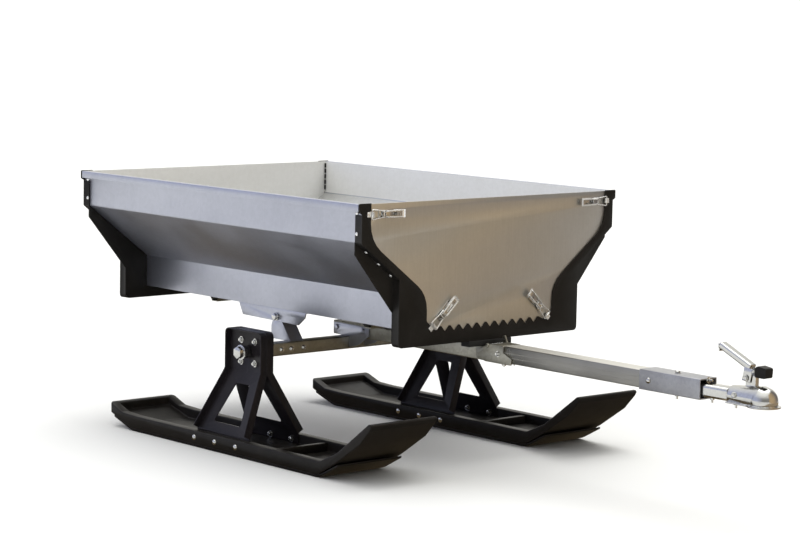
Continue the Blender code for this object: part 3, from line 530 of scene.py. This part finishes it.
def metal_finish(name, colour, roughness, grain, spangle, stain, grain_depth=0.00005, metallic=1.0):
    """Bare or plated metal.

    grain is (stretch, scale, strength), spangle is (scale, strength) and stain is the
    strength of the large soft patches that handling and oxide leave.
    """
    surface, tree, shader = shader_of(name)
    stretch, scale, strength = grain
    lines = grained(tree, scale, 4.0, stretch)
    crystal = use(tree, effect("spangle", spangle_group), {"Scale": spangle[0]})
    cloud = grained(tree, 5.0, 5.0)
    edges = use(tree, effect("wear", wear_group), {"Reach": 0.0015, "Amount": 0.55})
    tone = calc(tree, "MULTIPLY_ADD", crystal, spangle[1])
    tone.node.inputs[2].default_value = 0.5 - spangle[1] / 2
    lined = calc(tree, "MULTIPLY_ADD", lines, strength)
    tree.links.new(calc(tree, "SUBTRACT", tone, strength / 2), lined.node.inputs[2])
    blotch = spread(tree, cloud, 0.35, 0.70, 0.0, stain)
    bright = mix_colour(tree, lined, toned(colour, 0.72), toned(colour, 1.24))
    aged = mix_colour(tree, blotch, bright, toned((colour[0], colour[1] * 0.97, colour[2] * 0.90), 0.62))
    rubbed = mix_colour(tree, edges, aged, toned(colour, 1.55))
    matt = calc(tree, "ADD", spread(tree, cloud, 0.3, 0.7, roughness - 0.05, roughness + 0.09),
                spread(tree, lined, 0.3, 0.7, 0.04, -0.04))
    shader.inputs["Metallic"].default_value = metallic
    connect(tree, shader, rubbed, matt, lines, 0.6, grain_depth)
    return surface


def coat_finish(name, colour, roughness, chips):
    """Powder coat over steel: orange peel, dust and edges rubbed lighter."""
    surface, tree, shader = shader_of(name)
    peel = grained(tree, 420.0, 2.0)
    cloud = grained(tree, 7.0, 5.0)
    edges = use(tree, effect("wear", wear_group), {"Reach": 0.0022, "Amount": chips, "Break up": 90.0})
    dust = use(tree, effect("dust", dust_group), {"Amount": 0.10, "Full height": 0.0, "Clear height": 0.7})
    scuffs = use(tree, effect("scuffs", scuff_group), {"Stretch": (5.0, 5.0, 1.0), "Scale": 10.0,
                                                       "Amount": 0.35})
    varied = mix_colour(tree, spread(tree, cloud, 0.3, 0.7), toned(colour, 0.82), toned(colour, 1.25))
    dusty = mix_colour(tree, dust, varied, (0.16, 0.145, 0.125, 1.0))
    scuffed = mix_colour(tree, scuffs, dusty, toned(colour, 3.2))
    worn = mix_colour(tree, edges, scuffed, toned(colour, 6.0))
    matt = calc(tree, "ADD", spread(tree, cloud, 0.3, 0.7, roughness - 0.04, roughness + 0.08),
                calc(tree, "MULTIPLY", dust, 0.4))
    matt = calc(tree, "ADD", matt, calc(tree, "MULTIPLY", peel, 0.05), True)
    shader.inputs["Specular IOR Level"].default_value = 0.17
    connect(tree, shader, worn, matt, peel, 0.45, 0.00012)
    return surface


def moulded_finish(name, colour, roughness, texture_scale, texture_depth, scuff_amount, dust_amount):
    """Moulded plastic or rubber: fine leathery texture, pale scuffs along it and dust."""
    surface, tree, shader = shader_of(name)
    texture = grained(tree, texture_scale, 3.0)
    cloud = grained(tree, 4.5, 5.0)
    scuffs = use(tree, effect("scuffs", scuff_group), {"Stretch": (1.0, 7.0, 9.0), "Scale": 9.0,
                                                       "Amount": scuff_amount})
    edges = use(tree, effect("wear", wear_group), {"Reach": 0.0035, "Amount": scuff_amount,
                                                   "Break up": 45.0})
    dust = use(tree, effect("dust", dust_group), {"Amount": dust_amount, "Full height": 0.0,
                                                  "Clear height": 0.22, "Scale": 22.0})
    varied = mix_colour(tree, spread(tree, cloud, 0.3, 0.7), toned(colour, 0.80), toned(colour, 1.30))
    dusty = mix_colour(tree, dust, varied, (0.17, 0.155, 0.13, 1.0))
    scuffed = mix_colour(tree, calc(tree, "MAXIMUM", scuffs, edges), dusty, toned(colour, 4.0))
    matt = calc(tree, "ADD", spread(tree, cloud, 0.3, 0.7, roughness - 0.05, roughness + 0.09),
                calc(tree, "MULTIPLY", calc(tree, "MAXIMUM", dust, scuffs), 0.25), True)
    shader.inputs["Specular IOR Level"].default_value = 0.13
    connect(tree, shader, scuffed, matt, texture, 0.5, texture_depth)
    return surface


def make_surfaces():
    """Every finish of the sled, by the record's slot."""
    c = colours()
    upright_lines, bar_lines, even = (1.0, 1.0, 0.03), (0.02, 1.0, 1.0), (1.0, 1.0, 1.0)
    SURFACES.update({
        "galvanised_sheet": metal_finish("Galvanised sheet", c.side_sheet, 0.35, (upright_lines, 260.0, 0.12),
                                         (95.0, 0.10), 0.12, metallic=0.92),
        # Painted light: a pale, hardly metallic copy of the galvanised sheet, which paints the upper inner
        # walls and the end panels' inner faces brighter than the outside.
        "inner_walls_painted_bright": metal_finish("Painted-bright inner sheet", c.inner_walls_painted_bright, 0.50, (upright_lines, 260.0, 0.08),
                                    (95.0, 0.10), 0.10, metallic=0.12),
        "end_sheet": metal_finish("Brushed end sheet", c.end_sheet, 0.35, (upright_lines, 420.0, 0.34),
                                  (140.0, 0.06), 0.16, 0.00009, 0.92),
        "black_frame": coat_finish("Frame powder coat", c.frame_coat, 0.42, 0.30),
        "black_tower": coat_finish("Tower powder coat", c.tower_coat, 0.30, 0.35),
        "ski_plastic": moulded_finish("Moulded ski", c.ski, 0.36, 260.0, 0.0002, 0.22, 0.12),
        "hot_dip_steel": metal_finish("Hot-dipped steel", c.dipped, 0.42, (even, 150.0, 0.20),
                                      (120.0, 0.30), 0.45, 0.0002),
        "aluminium": metal_finish("Extruded aluminium", c.aluminium, 0.30, (bar_lines, 500.0, 0.30),
                                  (200.0, 0.03), 0.18, 0.00008),
        "zinc": metal_finish("Bright zinc", c.zinc, 0.13, (even, 300.0, 0.16), (240.0, 0.16), 0.20),
        # Painted light: a paler, half-metallic copy of the galvanised sheet, toned for the overhead light on
        # the inner slopes and the floor.
        "inner_low_painted_light": metal_finish("Painted-light inner sheet", c.inner_low_painted_light, 0.46, (upright_lines, 260.0, 0.12),
                                  (95.0, 0.14), 0.22, metallic=0.45),
        "wire": metal_finish("Bright wire", c.wire, 0.24, (even, 300.0, 0.14), (240.0, 0.12), 0.14,
                             metallic=0.65),
        "dull_zinc": metal_finish("Dull sleeve zinc", c.dull_zinc, 0.34, (even, 180.0, 0.18),
                                  (130.0, 0.22), 0.40, metallic=0.6),
        # Painted light: paler, less metallic copy of the aluminium, which paints the drawbar's top lighter
        # than its sides for the light from above.
        "drawbar_top_painted_light": metal_finish("Weathered extrusion", c.drawbar_top_painted_light, 0.45, (bar_lines, 500.0, 0.30),
                                  (200.0, 0.03), 0.20, metallic=0.3),
        "rubber": moulded_finish("Rubber", c.rubber, 0.75, 300.0, 0.0002, 0.20, 0.30),
        "black_grip": moulded_finish("Moulded grip", c.grip, 0.42, 600.0, 0.0001, 0.25, 0.15),
    })


# ---------------------------------------------------------------- operators


class GRITBOX_OT_surfaces(bpy.types.Operator):
    """Build every procedural finish once"""
    bl_idname = "grit_box.surfaces"
    bl_label = "Build the finishes"

    def execute(self, context):
        make_surfaces()
        return {"FINISHED"}


class GRITBOX_OT_box_sheets(bpy.types.Operator):
    """Dress the side sheets, the floor, its ribs and brackets, and the end panels"""
    bl_idname = "grit_box.box_sheets"
    bl_label = "Finish the box sheets"

    def execute(self, context):
        for side, sign in SIDES:
            sheet = dressed("box_side_" + side, "galvanised_sheet", 0.0006)
            # Painted light: the inner slopes and lower inner walls get the half-metallic copy of the sheet,
            # toned for the light that falls on them.
            paint(sheet, "inner_low_painted_light", lambda face: face.normal.y * sign < -0.3
                  and face.center.z < FOLD_HIGH_Z)
            # Painted light: the upper inner walls get the paler copy of the sheet, painted brighter than the
            # same sheet outside.
            paint(sheet, "inner_walls_painted_bright", lambda face: face.normal.y * sign < -0.9
                  and FOLD_HIGH_Z < face.center.z < RIM_TUCK_Z)
            dressed("tip_bracket_" + side, "galvanised_sheet", 0.0008)
        floor = dressed("box_floor", "galvanised_sheet", 0.0004)
        # Painted light: the floor's upper faces get the same toned copy of the sheet.
        paint(floor, "inner_low_painted_light", lambda face: face.normal.z > 0.3)
        for end, sign in ENDS:
            dressed("floor_rib_" + end, "hot_dip_steel", 0.0006)
            panel = dressed(end + "_panel", "end_sheet", 0.0004)
            # Painted light: the panel's inner face gets the same paler copy, painted brighter than its
            # outside.
            paint(panel, "inner_walls_painted_bright", lambda face: face.normal.x * sign < -0.9)
            proud = face_x(end, sign) - sign * 0.0029
            paint(panel, "zinc", lambda face: (face.center.x - proud) * sign > 0)
        return {"FINISHED"}


class GRITBOX_OT_end_frames(bpy.types.Operator):
    """Dress the two end frames and rivet them to the box"""
    bl_idname = "grit_box.end_frames"
    bl_label = "Finish the end frames"

    def execute(self, context):
        for end, sign in ENDS:
            dressed(end + "_frame", "black_frame", 0.0012, 2, 40)
            face = face_x(end, sign)
            spots = []
            for _, side in SIDES:
                for z in (0.764, 0.705):
                    spots.append((Vector((face - sign * 0.024, side * 0.4996, z)), (0, side, 0)))
                for y in (0.464, 0.417, 0.371):
                    z = SLOPE_FOOT[1] + (y - SLOPE_FOOT[0]) * SLOPE_RISE - 0.0044
                    spots.append((Vector((face - sign * 0.0235, side * y, z)),
                                  (0, side * SLOPE_OUT[0], SLOPE_OUT[1])))
            plated(stamp(dome_head(sizes().rivet, 0.0030), end + "_frame_rivets", spots), "box", "wire")
            self.seams(end, sign)
        return {"FINISHED"}

    def seams(self, end, sign):
        """Dark sealing tabs down the inner corners, between the side sheets and the end panel."""
        panel = face_x(end, sign) - sign * 0.0058
        top, bottom = 0.7850, 0.6900
        count = sizes().seam_tabs
        pitch = (top - bottom) / count
        tabs = []
        for _, side in SIDES:
            for index in range(count):
                place = (panel - sign * 0.0030, side * 0.4921, top - pitch * (index + 0.5))
                tabs.append(rounded_primitive("cube", 0.0009, 2, size=1.0, location=place,
                                              scale=(0.0052, 0.0036, pitch * 0.80)))
        finish_piece(smooth(join(tabs, end + "_seam_tabs")), "box", "rubber")


class GRITBOX_OT_latches(bpy.types.Operator):
    """Dress the draw latches and add their folded edges, rods and keepers"""
    bl_idname = "grit_box.latches"
    bl_label = "Finish the latches"

    def execute(self, context):
        for end, sign in ENDS:
            keepers = []
            for label, (y, z, angle) in LATCH_SPOTS.items():
                spot = latch_place(end, sign, y, z, angle)
                dressed(f"{end}_{label}_bail", "wire", 0.0004, 1)
                self.slot_through(dressed(f"{end}_{label}_lever", "zinc", 0.0011, 2), spot)
                trim = self.lever_trim(f"{end}_{label}_lever_trim")
                trim.matrix_world = spot
                apply_place(trim)
                plated(smooth(trim, 40), f"{end}_{label}_lever_body", "wire")
                keeper = self.keeper(f"{end}_{label}_keeper")
                keeper.matrix_world = spot
                keepers.append(apply_place(keeper))
            plated(smooth(join(keepers, end + "_keepers"), 40), "box", "wire")
        return {"FINISHED"}

    def keeper(self, name):
        """Hook on the frame, inside the wire loop, with its lip over the loop's bar."""
        bends = ((-0.0140, 0.0041), (0.0030, 0.0041), (0.0058, 0.0060), (0.0060, 0.0110),
                 (0.0042, 0.0126), (0.0010, 0.0128))
        hook = bent_strip(name, sizes().keeper, bends, 0.0012)
        bpy.ops.object.mode_set(mode="EDIT")
        bpy.ops.mesh.select_all(action="DESELECT")
        for across in (-1, 1):
            bpy.ops.mesh.primitive_uv_sphere_add(segments=12, ring_count=6, radius=0.0022,
                                                 location=(-0.0095, across * 0.0042, 0.0047))
        leave_edit()
        return hook

    def lever_trim(self, name):
        """Folded edges, side rods, pivot pins and turned-up end of a latch's hand lever."""
        walls = []
        for across in (-1, 1):
            run = ((0.0460, 0.0), (0.0700, 0.0), (0.0760, 0.0), (0.1110, 0.0))
            wall = bent_strip(name, 0.0050, run, 0.0010)
            choose(wall, "VERT", lambda vert: vert.co.x > 0.073)
            bpy.ops.transform.translate(value=(0.0, 0.0, -across * 0.0046))
            leave_edit()
            wall.rotation_euler = (UPRIGHT, 0.0, 0.0)
            wall.location = (0.0, across * 0.0066, LATCH_PLATE)
            walls.append(apply_place(wall))
        lip = bent_strip(name, 0.0226, ((0.1060, 0.0146), (0.1110, 0.0150), (0.1150, 0.0178)), 0.0012)
        rods = []
        for across in (-1, 1):
            rods.append(rounded_primitive("cylinder", 0.0006, vertices=12, radius=0.0017, depth=0.056,
                                          location=(0.0800, across * 0.0088, 0.0158),
                                          rotation=(0.0, UPRIGHT, 0.0)))
        for along, height, radius in ((0.0560, 0.0085, 0.0030), (0.0420, 0.0100, 0.0024)):
            rods.append(rounded_primitive("cylinder", 0.0005, vertices=14, radius=radius, depth=0.0190,
                                          location=(along, 0.0, height), rotation=(UPRIGHT, 0.0, 0.0)))
        return join([*walls, *rods, apply_place(lip)], name)

    def slot_through(self, lever, spot):
        """Long slot that leaves the lever's two arms."""
        cutter = rounded_primitive("cube", 0.0030, 2, size=1.0, scale=(0.0370, 0.0105, 0.0120),
                                   location=(0.0795, 0.0, LATCH_PLATE))
        cutter.matrix_world = spot
        subtract(lever, apply_place(cutter))


class GRITBOX_OT_towers(bpy.types.Operator):
    """Dress the ski towers and bolt them up"""
    bl_idname = "grit_box.towers"
    bl_label = "Finish the towers"

    def execute(self, context):
        for side, sign in SIDES:
            for place in ("outer", "inner"):
                dressed(f"tower_{place}_{side}", "black_tower", 0.0010, 2)
            dressed("tower_hub_" + side, "hot_dip_steel", 0.0006)
            spots = []
            for x in (-BOLT_RING, BOLT_RING):
                for z in (-BOLT_RING, BOLT_RING):
                    spots.append((at(x, sign * 0.4128, AXLE_Z + z), (0, sign, 0)))
                    spots.append((at(x, sign * 0.4062, AXLE_Z + z), (0, -sign, 0)))
            bolts = stamp(hex_head(sizes().small_bolt, 0.0055, 0.0035), f"tower_bolts_{side}", spots)
            plated(bolts, f"ski_{side}_body")
        return {"FINISHED"}


class GRITBOX_OT_skis(bpy.types.Operator):
    """Dress the moulded skis, their ribs and wear plates"""
    bl_idname = "grit_box.skis"
    bl_label = "Finish the skis"

    def execute(self, context):
        for side, sign in SIDES:
            dressed("ski_" + side, "ski_plastic", 0.0045, 3, 40)
            dressed("wear_plate_" + side, "ski_plastic", 0.0015, 2, 40)
            dressed("cross_rib_" + side, "ski_plastic", 0.0020, 2)
            low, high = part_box("ski_" + side)
            outer, inner = (high.y, low.y) if sign > 0 else (low.y, high.y)
            spots, nuts = [], []
            for x in (-0.105, -0.004, 0.098):
                spots.append((at(x, outer, 0.0285), (0, sign, 0)))
                spots.append((at(x, inner, 0.0285), (0, -sign, 0)))
                nuts.append((at(x, inner + sign * 0.0340, 0.0320), (0, sign, 0)))
                nuts.append((at(x, outer - sign * 0.0340, 0.0320), (0, -sign, 0)))
            heads = stamp(dome_head(sizes().ski_bolt, 0.0040), f"ski_bolts_{side}", spots)
            plated(heads, f"ski_{side}_body")
            lock_nuts = stamp(hex_head(sizes().small_bolt, 0.0060, 0.0040), f"ski_nuts_{side}", nuts)
            plated(lock_nuts, f"ski_{side}_body")
        return {"FINISHED"}


class GRITBOX_OT_chassis(bpy.types.Operator):
    """Dress the axle beam, the spine and what is bolted to them"""
    bl_idname = "grit_box.chassis"
    bl_label = "Finish the chassis"

    def execute(self, context):
        for node in ("axle_beam", "spine", "stop_pad"):
            dressed(node)
        for node in ("lock_block", "tip_lock_lever"):
            dressed(node, "hot_dip_steel", 0.0010)
        for side, _ in SIDES:
            for stem in ("axle_bolt_", "upright_", "pivot_bolt_", "spine_gusset_"):
                dressed(stem + side)
        spots = [(at(face * 0.0200, side * y, AXLE_Z), (face, 0, 0)) for _, side in SIDES
                 for y in (0.300, 0.262, 0.214) for face in (1, -1)]
        spots += [(at(0.690, side * 0.0342, 0.3410), (0, side, 0)) for _, side in SIDES]
        spots += [(at(0.702, side * 0.020, 0.3125), (0, 0, -1)) for _, side in SIDES]
        bolts = stamp(hex_head(sizes().small_bolt * 0.85, 0.0045, 0.0030), "chassis_bolts", spots)
        plated(bolts, "chassis")
        self.lock_spring()
        return {"FINISHED"}

    def lock_spring(self):
        """Coil spring on the tip lock's pin, between the two cheeks."""
        x, y, z = LOCK_PIN
        coils = []
        for turn in range(17):
            coils.append(apply_place(primitive(
                "torus", major_radius=0.0040, minor_radius=0.0008, major_segments=20, minor_segments=8,
                rotation=(math.radians(96), 0.0, 0.0), location=at(x, y + (turn - 8) * 0.0030, z))))
        plated(smooth(join(coils, "lock_spring"), 60), "chassis")


class GRITBOX_OT_drawbar(bpy.types.Operator):
    """Dress the drawbar, its sleeve and the ball coupler"""
    bl_idname = "grit_box.drawbar"
    bl_label = "Finish the drawbar"

    def execute(self, context):
        bar = dressed("drawbar", "aluminium", 0.0006)
        # Painted light: the drawbar's upward faces get the paler copy, painted lighter than its sides for the
        # light from above.
        paint(bar, "drawbar_top_painted_light", lambda face: face.normal.z > 0.9)
        dressed("drawbar_sleeve", "dull_zinc", 0.0006)
        for node in ("coupler_shank", "ball_clamp"):
            dressed(node, "zinc", 0.0006)
        dressed("safety_catch", "black_grip", 0.0015, 3)
        finish_piece(self.housing(), "chassis", "zinc", ("coupler_body",))
        finish_piece(self.hand_lever(), "coupler_lever_body", "zinc", ("coupler_lever",))
        finish_piece(self.extrusion_ribs(), "chassis", "aluminium")
        low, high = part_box("drawbar_sleeve")
        wide = [(at(1.283, side * high.y, 0.3415), (0, side, 0)) for _, side in SIDES]
        plated(stamp(dome_head(0.0088, 0.0048), "sleeve_side_bolts", wide), "chassis")
        spots = [(at(1.360, 0.0, high.z), (0, 0, 1)), (at(1.587, 0.0290, 0.3420), (0, 1, 0)),
                 (at(1.587, -0.0290, 0.3420), (0, -1, 0)), (at(1.612, 0.0145, 0.3900), (0, 1, 0)),
                 (at(1.612, -0.0145, 0.3900), (0, -1, 0))]
        plated(stamp(hex_head(0.0068, 0.0042), "drawbar_bolts", spots), "chassis")
        ends = [(at(1.360, 0.0, low.z), (0, 0, -1)), (at(1.486, 0.0, 0.3210), (0, 0, -1)),
                (at(1.570, 0.0, 0.3180), (0, 0, -1)), (at(1.4700, 0.0, 0.3650), (1, 0, 0))]
        plated(stamp(hex_head(0.0064, 0.0056, 0.0085), "drawbar_bolt_ends", ends), "chassis")
        return {"FINISHED"}

    def solid(self, low, high, width, segments=3, turn=0.0):
        """Rounded block between two corners in sled coordinates, turned about its middle."""
        low, high = Vector(low), Vector(high)
        return rounded_primitive("cube", width, segments, size=1.0, scale=high - low,
                                 rotation=(0.0, turn, 0.0), location=at(*((low + high) / 2)))

    def housing(self):
        """Pressed ball housing: a neck that widens into a dome, on a flange with a flared nose."""
        low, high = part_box("coupler_body")
        ball_x = high.x - FLARE_RADIUS
        neck = ball_x - low.x
        forms = (("uv_sphere", {"segments": 48, "ring_count": 24, "radius": DOME_RADIUS,
                                "location": (ball_x, 0.0, BALL_Z)}),
                 ("cone", {"vertices": 48, "radius1": 0.0270, "radius2": 0.0370, "depth": neck,
                           "rotation": (0.0, UPRIGHT, 0.0),
                           "location": (low.x + neck / 2, 0.0, BALL_Z + 0.003)}),
                 ("cylinder", {"vertices": 64, "radius": 0.0458, "depth": 0.0044,
                               "location": (ball_x, 0.0, low.z + 0.0022)}))
        pieces = [apply_place(primitive(kind, **settings)) for kind, settings in forms]
        pieces.append(self.solid((1.5590, -0.0330, FLANGE_LOW_Z), (1.6650, 0.0330, 0.3224), 0.0010, 2))
        pieces.append(self.solid((1.6060, -0.0085, 0.3550), (1.6400, 0.0085, 0.4010), 0.0030))
        body = join(pieces, "coupler_housing")
        modify(body, "REMESH", "Blend", mode="VOXEL", voxel_size=0.0011)
        modify(body, "SMOOTH", "Relax", iterations=5)
        below = self.solid((1.50, -0.06, 0.28), (1.72, 0.06, FLANGE_LOW_Z + 0.0002), 0.0005, 1)
        ball = apply_place(primitive("uv_sphere", segments=40, ring_count=20, radius=SOCKET_RADIUS,
                                     location=(ball_x, 0.0, BALL_Z)))
        mouth = apply_place(primitive("cylinder", vertices=48, radius=SOCKET_RADIUS, depth=0.030,
                                      location=(ball_x, 0.0, BALL_Z - 0.0152)))
        pocket = self.solid((1.6000, -0.0105, 0.3000), (1.6450, 0.0105, 0.3500), 0.0005, 1)
        for cutter in (below, ball, mouth, pocket):
            subtract(body, cutter)
        return smooth(body, 40)

    def hand_lever(self):
        """Raised hand lever: a rounded channel with a turned-down tail and two ears on its pivot."""
        tail, head, half = LEVER_TAIL, LEVER_HEAD, 0.0128
        slope = math.atan2(tail.y - head.y, head.x - tail.x)
        middle, length = (tail + head) / 2, (head - tail).length
        reach = Vector((length / 2, half, 0.0088))
        centre = Vector((middle.x, 0.0, middle.y))
        arm = self.solid(centre - reach, centre + reach, 0.0045, 4, slope)
        channel = Vector((length / 2 - 0.012, half - 0.0025, 0.0065))
        below = Vector((math.sin(slope), 0.0, math.cos(slope))) * -0.0045
        hollow = centre + below
        subtract(arm, self.solid(hollow - channel, hollow + channel, 0.0010, 1, slope))
        lip = self.solid((1.5105, -0.0108, 0.4490), (1.5145, 0.0108, 0.4700), 0.0014, 3, math.radians(-6))
        ears = []
        for _, side in SIDES:
            middle_y = side * 0.0117
            ears.append(self.solid((1.6010, middle_y - 0.0012, 0.3800), (1.6290, middle_y + 0.0012, 0.4180),
                                   0.0011, 2, math.radians(10)))
        return smooth(join([arm, lip, *ears], "hand_lever"), 40)

    def extrusion_ribs(self):
        """Two raised lines along each side of the drawbar."""
        low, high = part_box("drawbar")
        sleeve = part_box("drawbar_sleeve")[0].x
        ribs = []
        for _, side in SIDES:
            for level in (0.34, 0.60):
                height = low.z + (high.z - low.z) * level
                ribs.append(rounded_primitive("cube", 0.0003, size=1.0,
                                              scale=(sleeve - low.x - 0.004, 0.0012, 0.0022),
                                              location=((low.x + sleeve) / 2, side * high.y, height)))
        return smooth(join(ribs, "drawbar_ribs"))


class GRITBOX_OT_stage(bpy.types.Operator):
    """Set the pale floor, the soft lights, the cards that paint reflections and the camera"""
    bl_idname = "grit_box.stage"
    bl_label = "Set the stage"

    def execute(self, context):
        floor = apply_place(primitive("plane", size=4000.0, location=(0, 0, -0.0004)))
        floor.name = "studio_floor"
        surface, _, shader = shader_of("Studio floor")
        shader.inputs["Base Color"].default_value = (*colours().floor, 1.0)
        shader.inputs["Roughness"].default_value = 0.9
        shader.inputs["Specular IOR Level"].default_value = 0.1
        floor.data.materials.append(surface)
        self.light_world(context.scene)
        self.add_sun()
        # Cards seen only in reflections: the two warm ones paint the front panel's warm reflection, and the
        # dark one under the box paints the floor's shade there into the slopes' reflection.
        self.add_card("warm_card", (5.6, 5.0), (2.7, 1.9, 1.6), (-1.0, -0.75, 0.0),
                      (0.24, 0.215, 0.205, 1.0), (0.72, 0.53, 0.31, 1.0))
        self.add_card("warm_reflection_on_floor", (2.6, 3.2), (2.05, 1.05, 0.0006), (0.0, 0.0, 1.0),
                      (0.47, 0.36, 0.235, 1.0), (0.44, 0.35, 0.24, 1.0))
        self.add_card("painted_shade_card", (4.2, 1.75), (-1.20, 0.28, 0.0008), (0.0, 0.0, 1.0),
                      (0.12, 0.092, 0.055, 1.0), (0.12, 0.092, 0.055, 1.0))
        self.add_camera(context.scene)
        context.scene.view_settings.view_transform = "Standard"
        return {"FINISHED"}

    def light_world(self, scene):
        """Dim surround, bright overhead and behind the sled, cooler on its right."""
        world = bpy.data.worlds.new("Studio")
        scene.world = world
        world.use_nodes = True
        tree = world.node_tree
        background = tree.nodes["Background"]
        way = add(tree, "TexCoord").outputs["Generated"]
        aside = add(tree, "VectorMath", {"operation": "DOT_PRODUCT"}, {0: way, 1: (-0.75, -0.66, 0.0)})
        cool = spread(tree, aside.outputs["Value"], 0.2, 0.9)
        surround = mix_colour(tree, cool, (0.40, 0.39, 0.37, 1.0), (0.76, 0.82, 1.10, 1.0))
        across = add(tree, "VectorMath", {"operation": "DOT_PRODUCT"}, {0: way, 1: (-0.76, 0.65, 0.0)})
        behind = spread(tree, across.outputs["Value"], 0.55, 0.95)
        surround = mix_colour(tree, behind, surround, (1.30, 1.27, 1.18, 1.0))
        overhead = spread(tree, add(tree, "SeparateXYZ", None, {0: way}).outputs["Z"], 0.40, 0.95)
        surround = mix_colour(tree, overhead, surround, (1.95, 1.95, 1.88, 1.0))
        seen = add(tree, "LightPath").outputs["Is Camera Ray"]
        surround = mix_colour(tree, seen, surround, (1.0, 1.0, 1.0, 1.0))
        tree.links.new(surround, background.inputs["Color"])
        background.inputs["Strength"].default_value = 0.85

    def add_card(self, name, size, place, facing, near_colour, far_colour):
        """Card that only shows as a reflection, so it paints a reflection; its colour changes along its
        width.
        """
        card = primitive("plane", size=1.0)
        card.name = name
        card.scale = (*size, 1.0)
        card.rotation_euler = Vector(facing).to_track_quat("Z", "Y").to_euler()
        card.location = place
        surface = bpy.data.materials.new(name)
        surface.use_nodes = True
        tree = surface.node_tree
        across = add(tree, "SeparateXYZ", None, {0: add(tree, "TexCoord").outputs["Object"]}).outputs["X"]
        colour = mix_colour(tree, spread(tree, across, -0.2, 0.2), near_colour, far_colour)
        glow = add(tree, "Emission", None, {"Color": colour})
        tree.links.new(glow.outputs[0], tree.nodes["Material Output"].inputs["Surface"])
        card.data.materials.append(surface)
        card.visible_camera = False
        card.visible_diffuse = False
        card.visible_shadow = False

    def add_sun(self):
        """One very soft key from above, a little behind the box."""
        bpy.ops.object.light_add(type="SUN", location=(-1.2, 1.6, 6.0))
        sun = bpy.context.object
        sun.name = "soft_key"
        sun.data.energy = 1.3
        sun.data.angle = math.radians(50)
        aim = Vector((0.0, 0.0, 0.3)) - sun.location
        sun.rotation_euler = aim.to_track_quat("-Z", "Y").to_euler()

    def add_camera(self, scene):
        """Long lens, low on the sled's right front."""
        azimuth, elevation, roll = (math.radians(a) for a in (48.6587, 6.4337, 1.1349))
        back = Vector((math.sin(azimuth) * math.cos(elevation), -math.cos(azimuth) * math.cos(elevation),
                       math.sin(elevation)))
        level = Vector((math.cos(azimuth), math.sin(azimuth), 0.0))
        above = back.cross(level)
        right = level * math.cos(roll) + above * math.sin(roll)
        up = back.cross(right)
        bpy.ops.object.camera_add()
        camera = bpy.context.object
        camera.matrix_world = Matrix.Translation(at(5.8339, -4.9442, 1.3911)) @ Matrix(
            (right, up, back)).transposed().to_4x4()
        camera.data.lens = 111.45
        camera.data.sensor_width = 36.0
        camera.data.clip_end = 4000.0
        scene.camera = camera


class GRITBOX_PT_panel(bpy.types.Panel):
    """Sidebar panel with the sizes, the colours and a button for each group of pieces"""
    bl_idname = "GRITBOX_PT_panel"
    bl_label = "Grit box"
    bl_space_type = "VIEW_3D"
    bl_region_type = "UI"
    bl_category = "Grit box"

    def draw(self, context):
        for group in (context.scene.grit_box_sizes, context.scene.grit_box_colours):
            for name in group.bl_rna.properties.keys():
                if name not in ("rna_type", "name"):
                    self.layout.prop(group, name)
        for operator in OPERATORS:
            self.layout.operator(operator.bl_idname)


OPERATORS = (GRITBOX_OT_surfaces, GRITBOX_OT_box_sheets, GRITBOX_OT_end_frames, GRITBOX_OT_latches,
             GRITBOX_OT_towers, GRITBOX_OT_skis, GRITBOX_OT_chassis, GRITBOX_OT_drawbar, GRITBOX_OT_stage)
CLASSES = (GritBoxColours, GritBoxSizes, *OPERATORS, GRITBOX_PT_panel)


def register():
    for item in CLASSES:
        bpy.utils.register_class(item)
    bpy.types.Scene.grit_box_colours = PointerProperty(type=GritBoxColours)
    bpy.types.Scene.grit_box_sizes = PointerProperty(type=GritBoxSizes)


def unregister():
    del bpy.types.Scene.grit_box_colours
    del bpy.types.Scene.grit_box_sizes
    for item in reversed(CLASSES):
        bpy.utils.unregister_class(item)


def main():
    register()
    for operator in OPERATORS:
        group, name = operator.bl_idname.split(".")
        getattr(getattr(bpy.ops, group), name)()


if __name__ == "__main__":
    main()
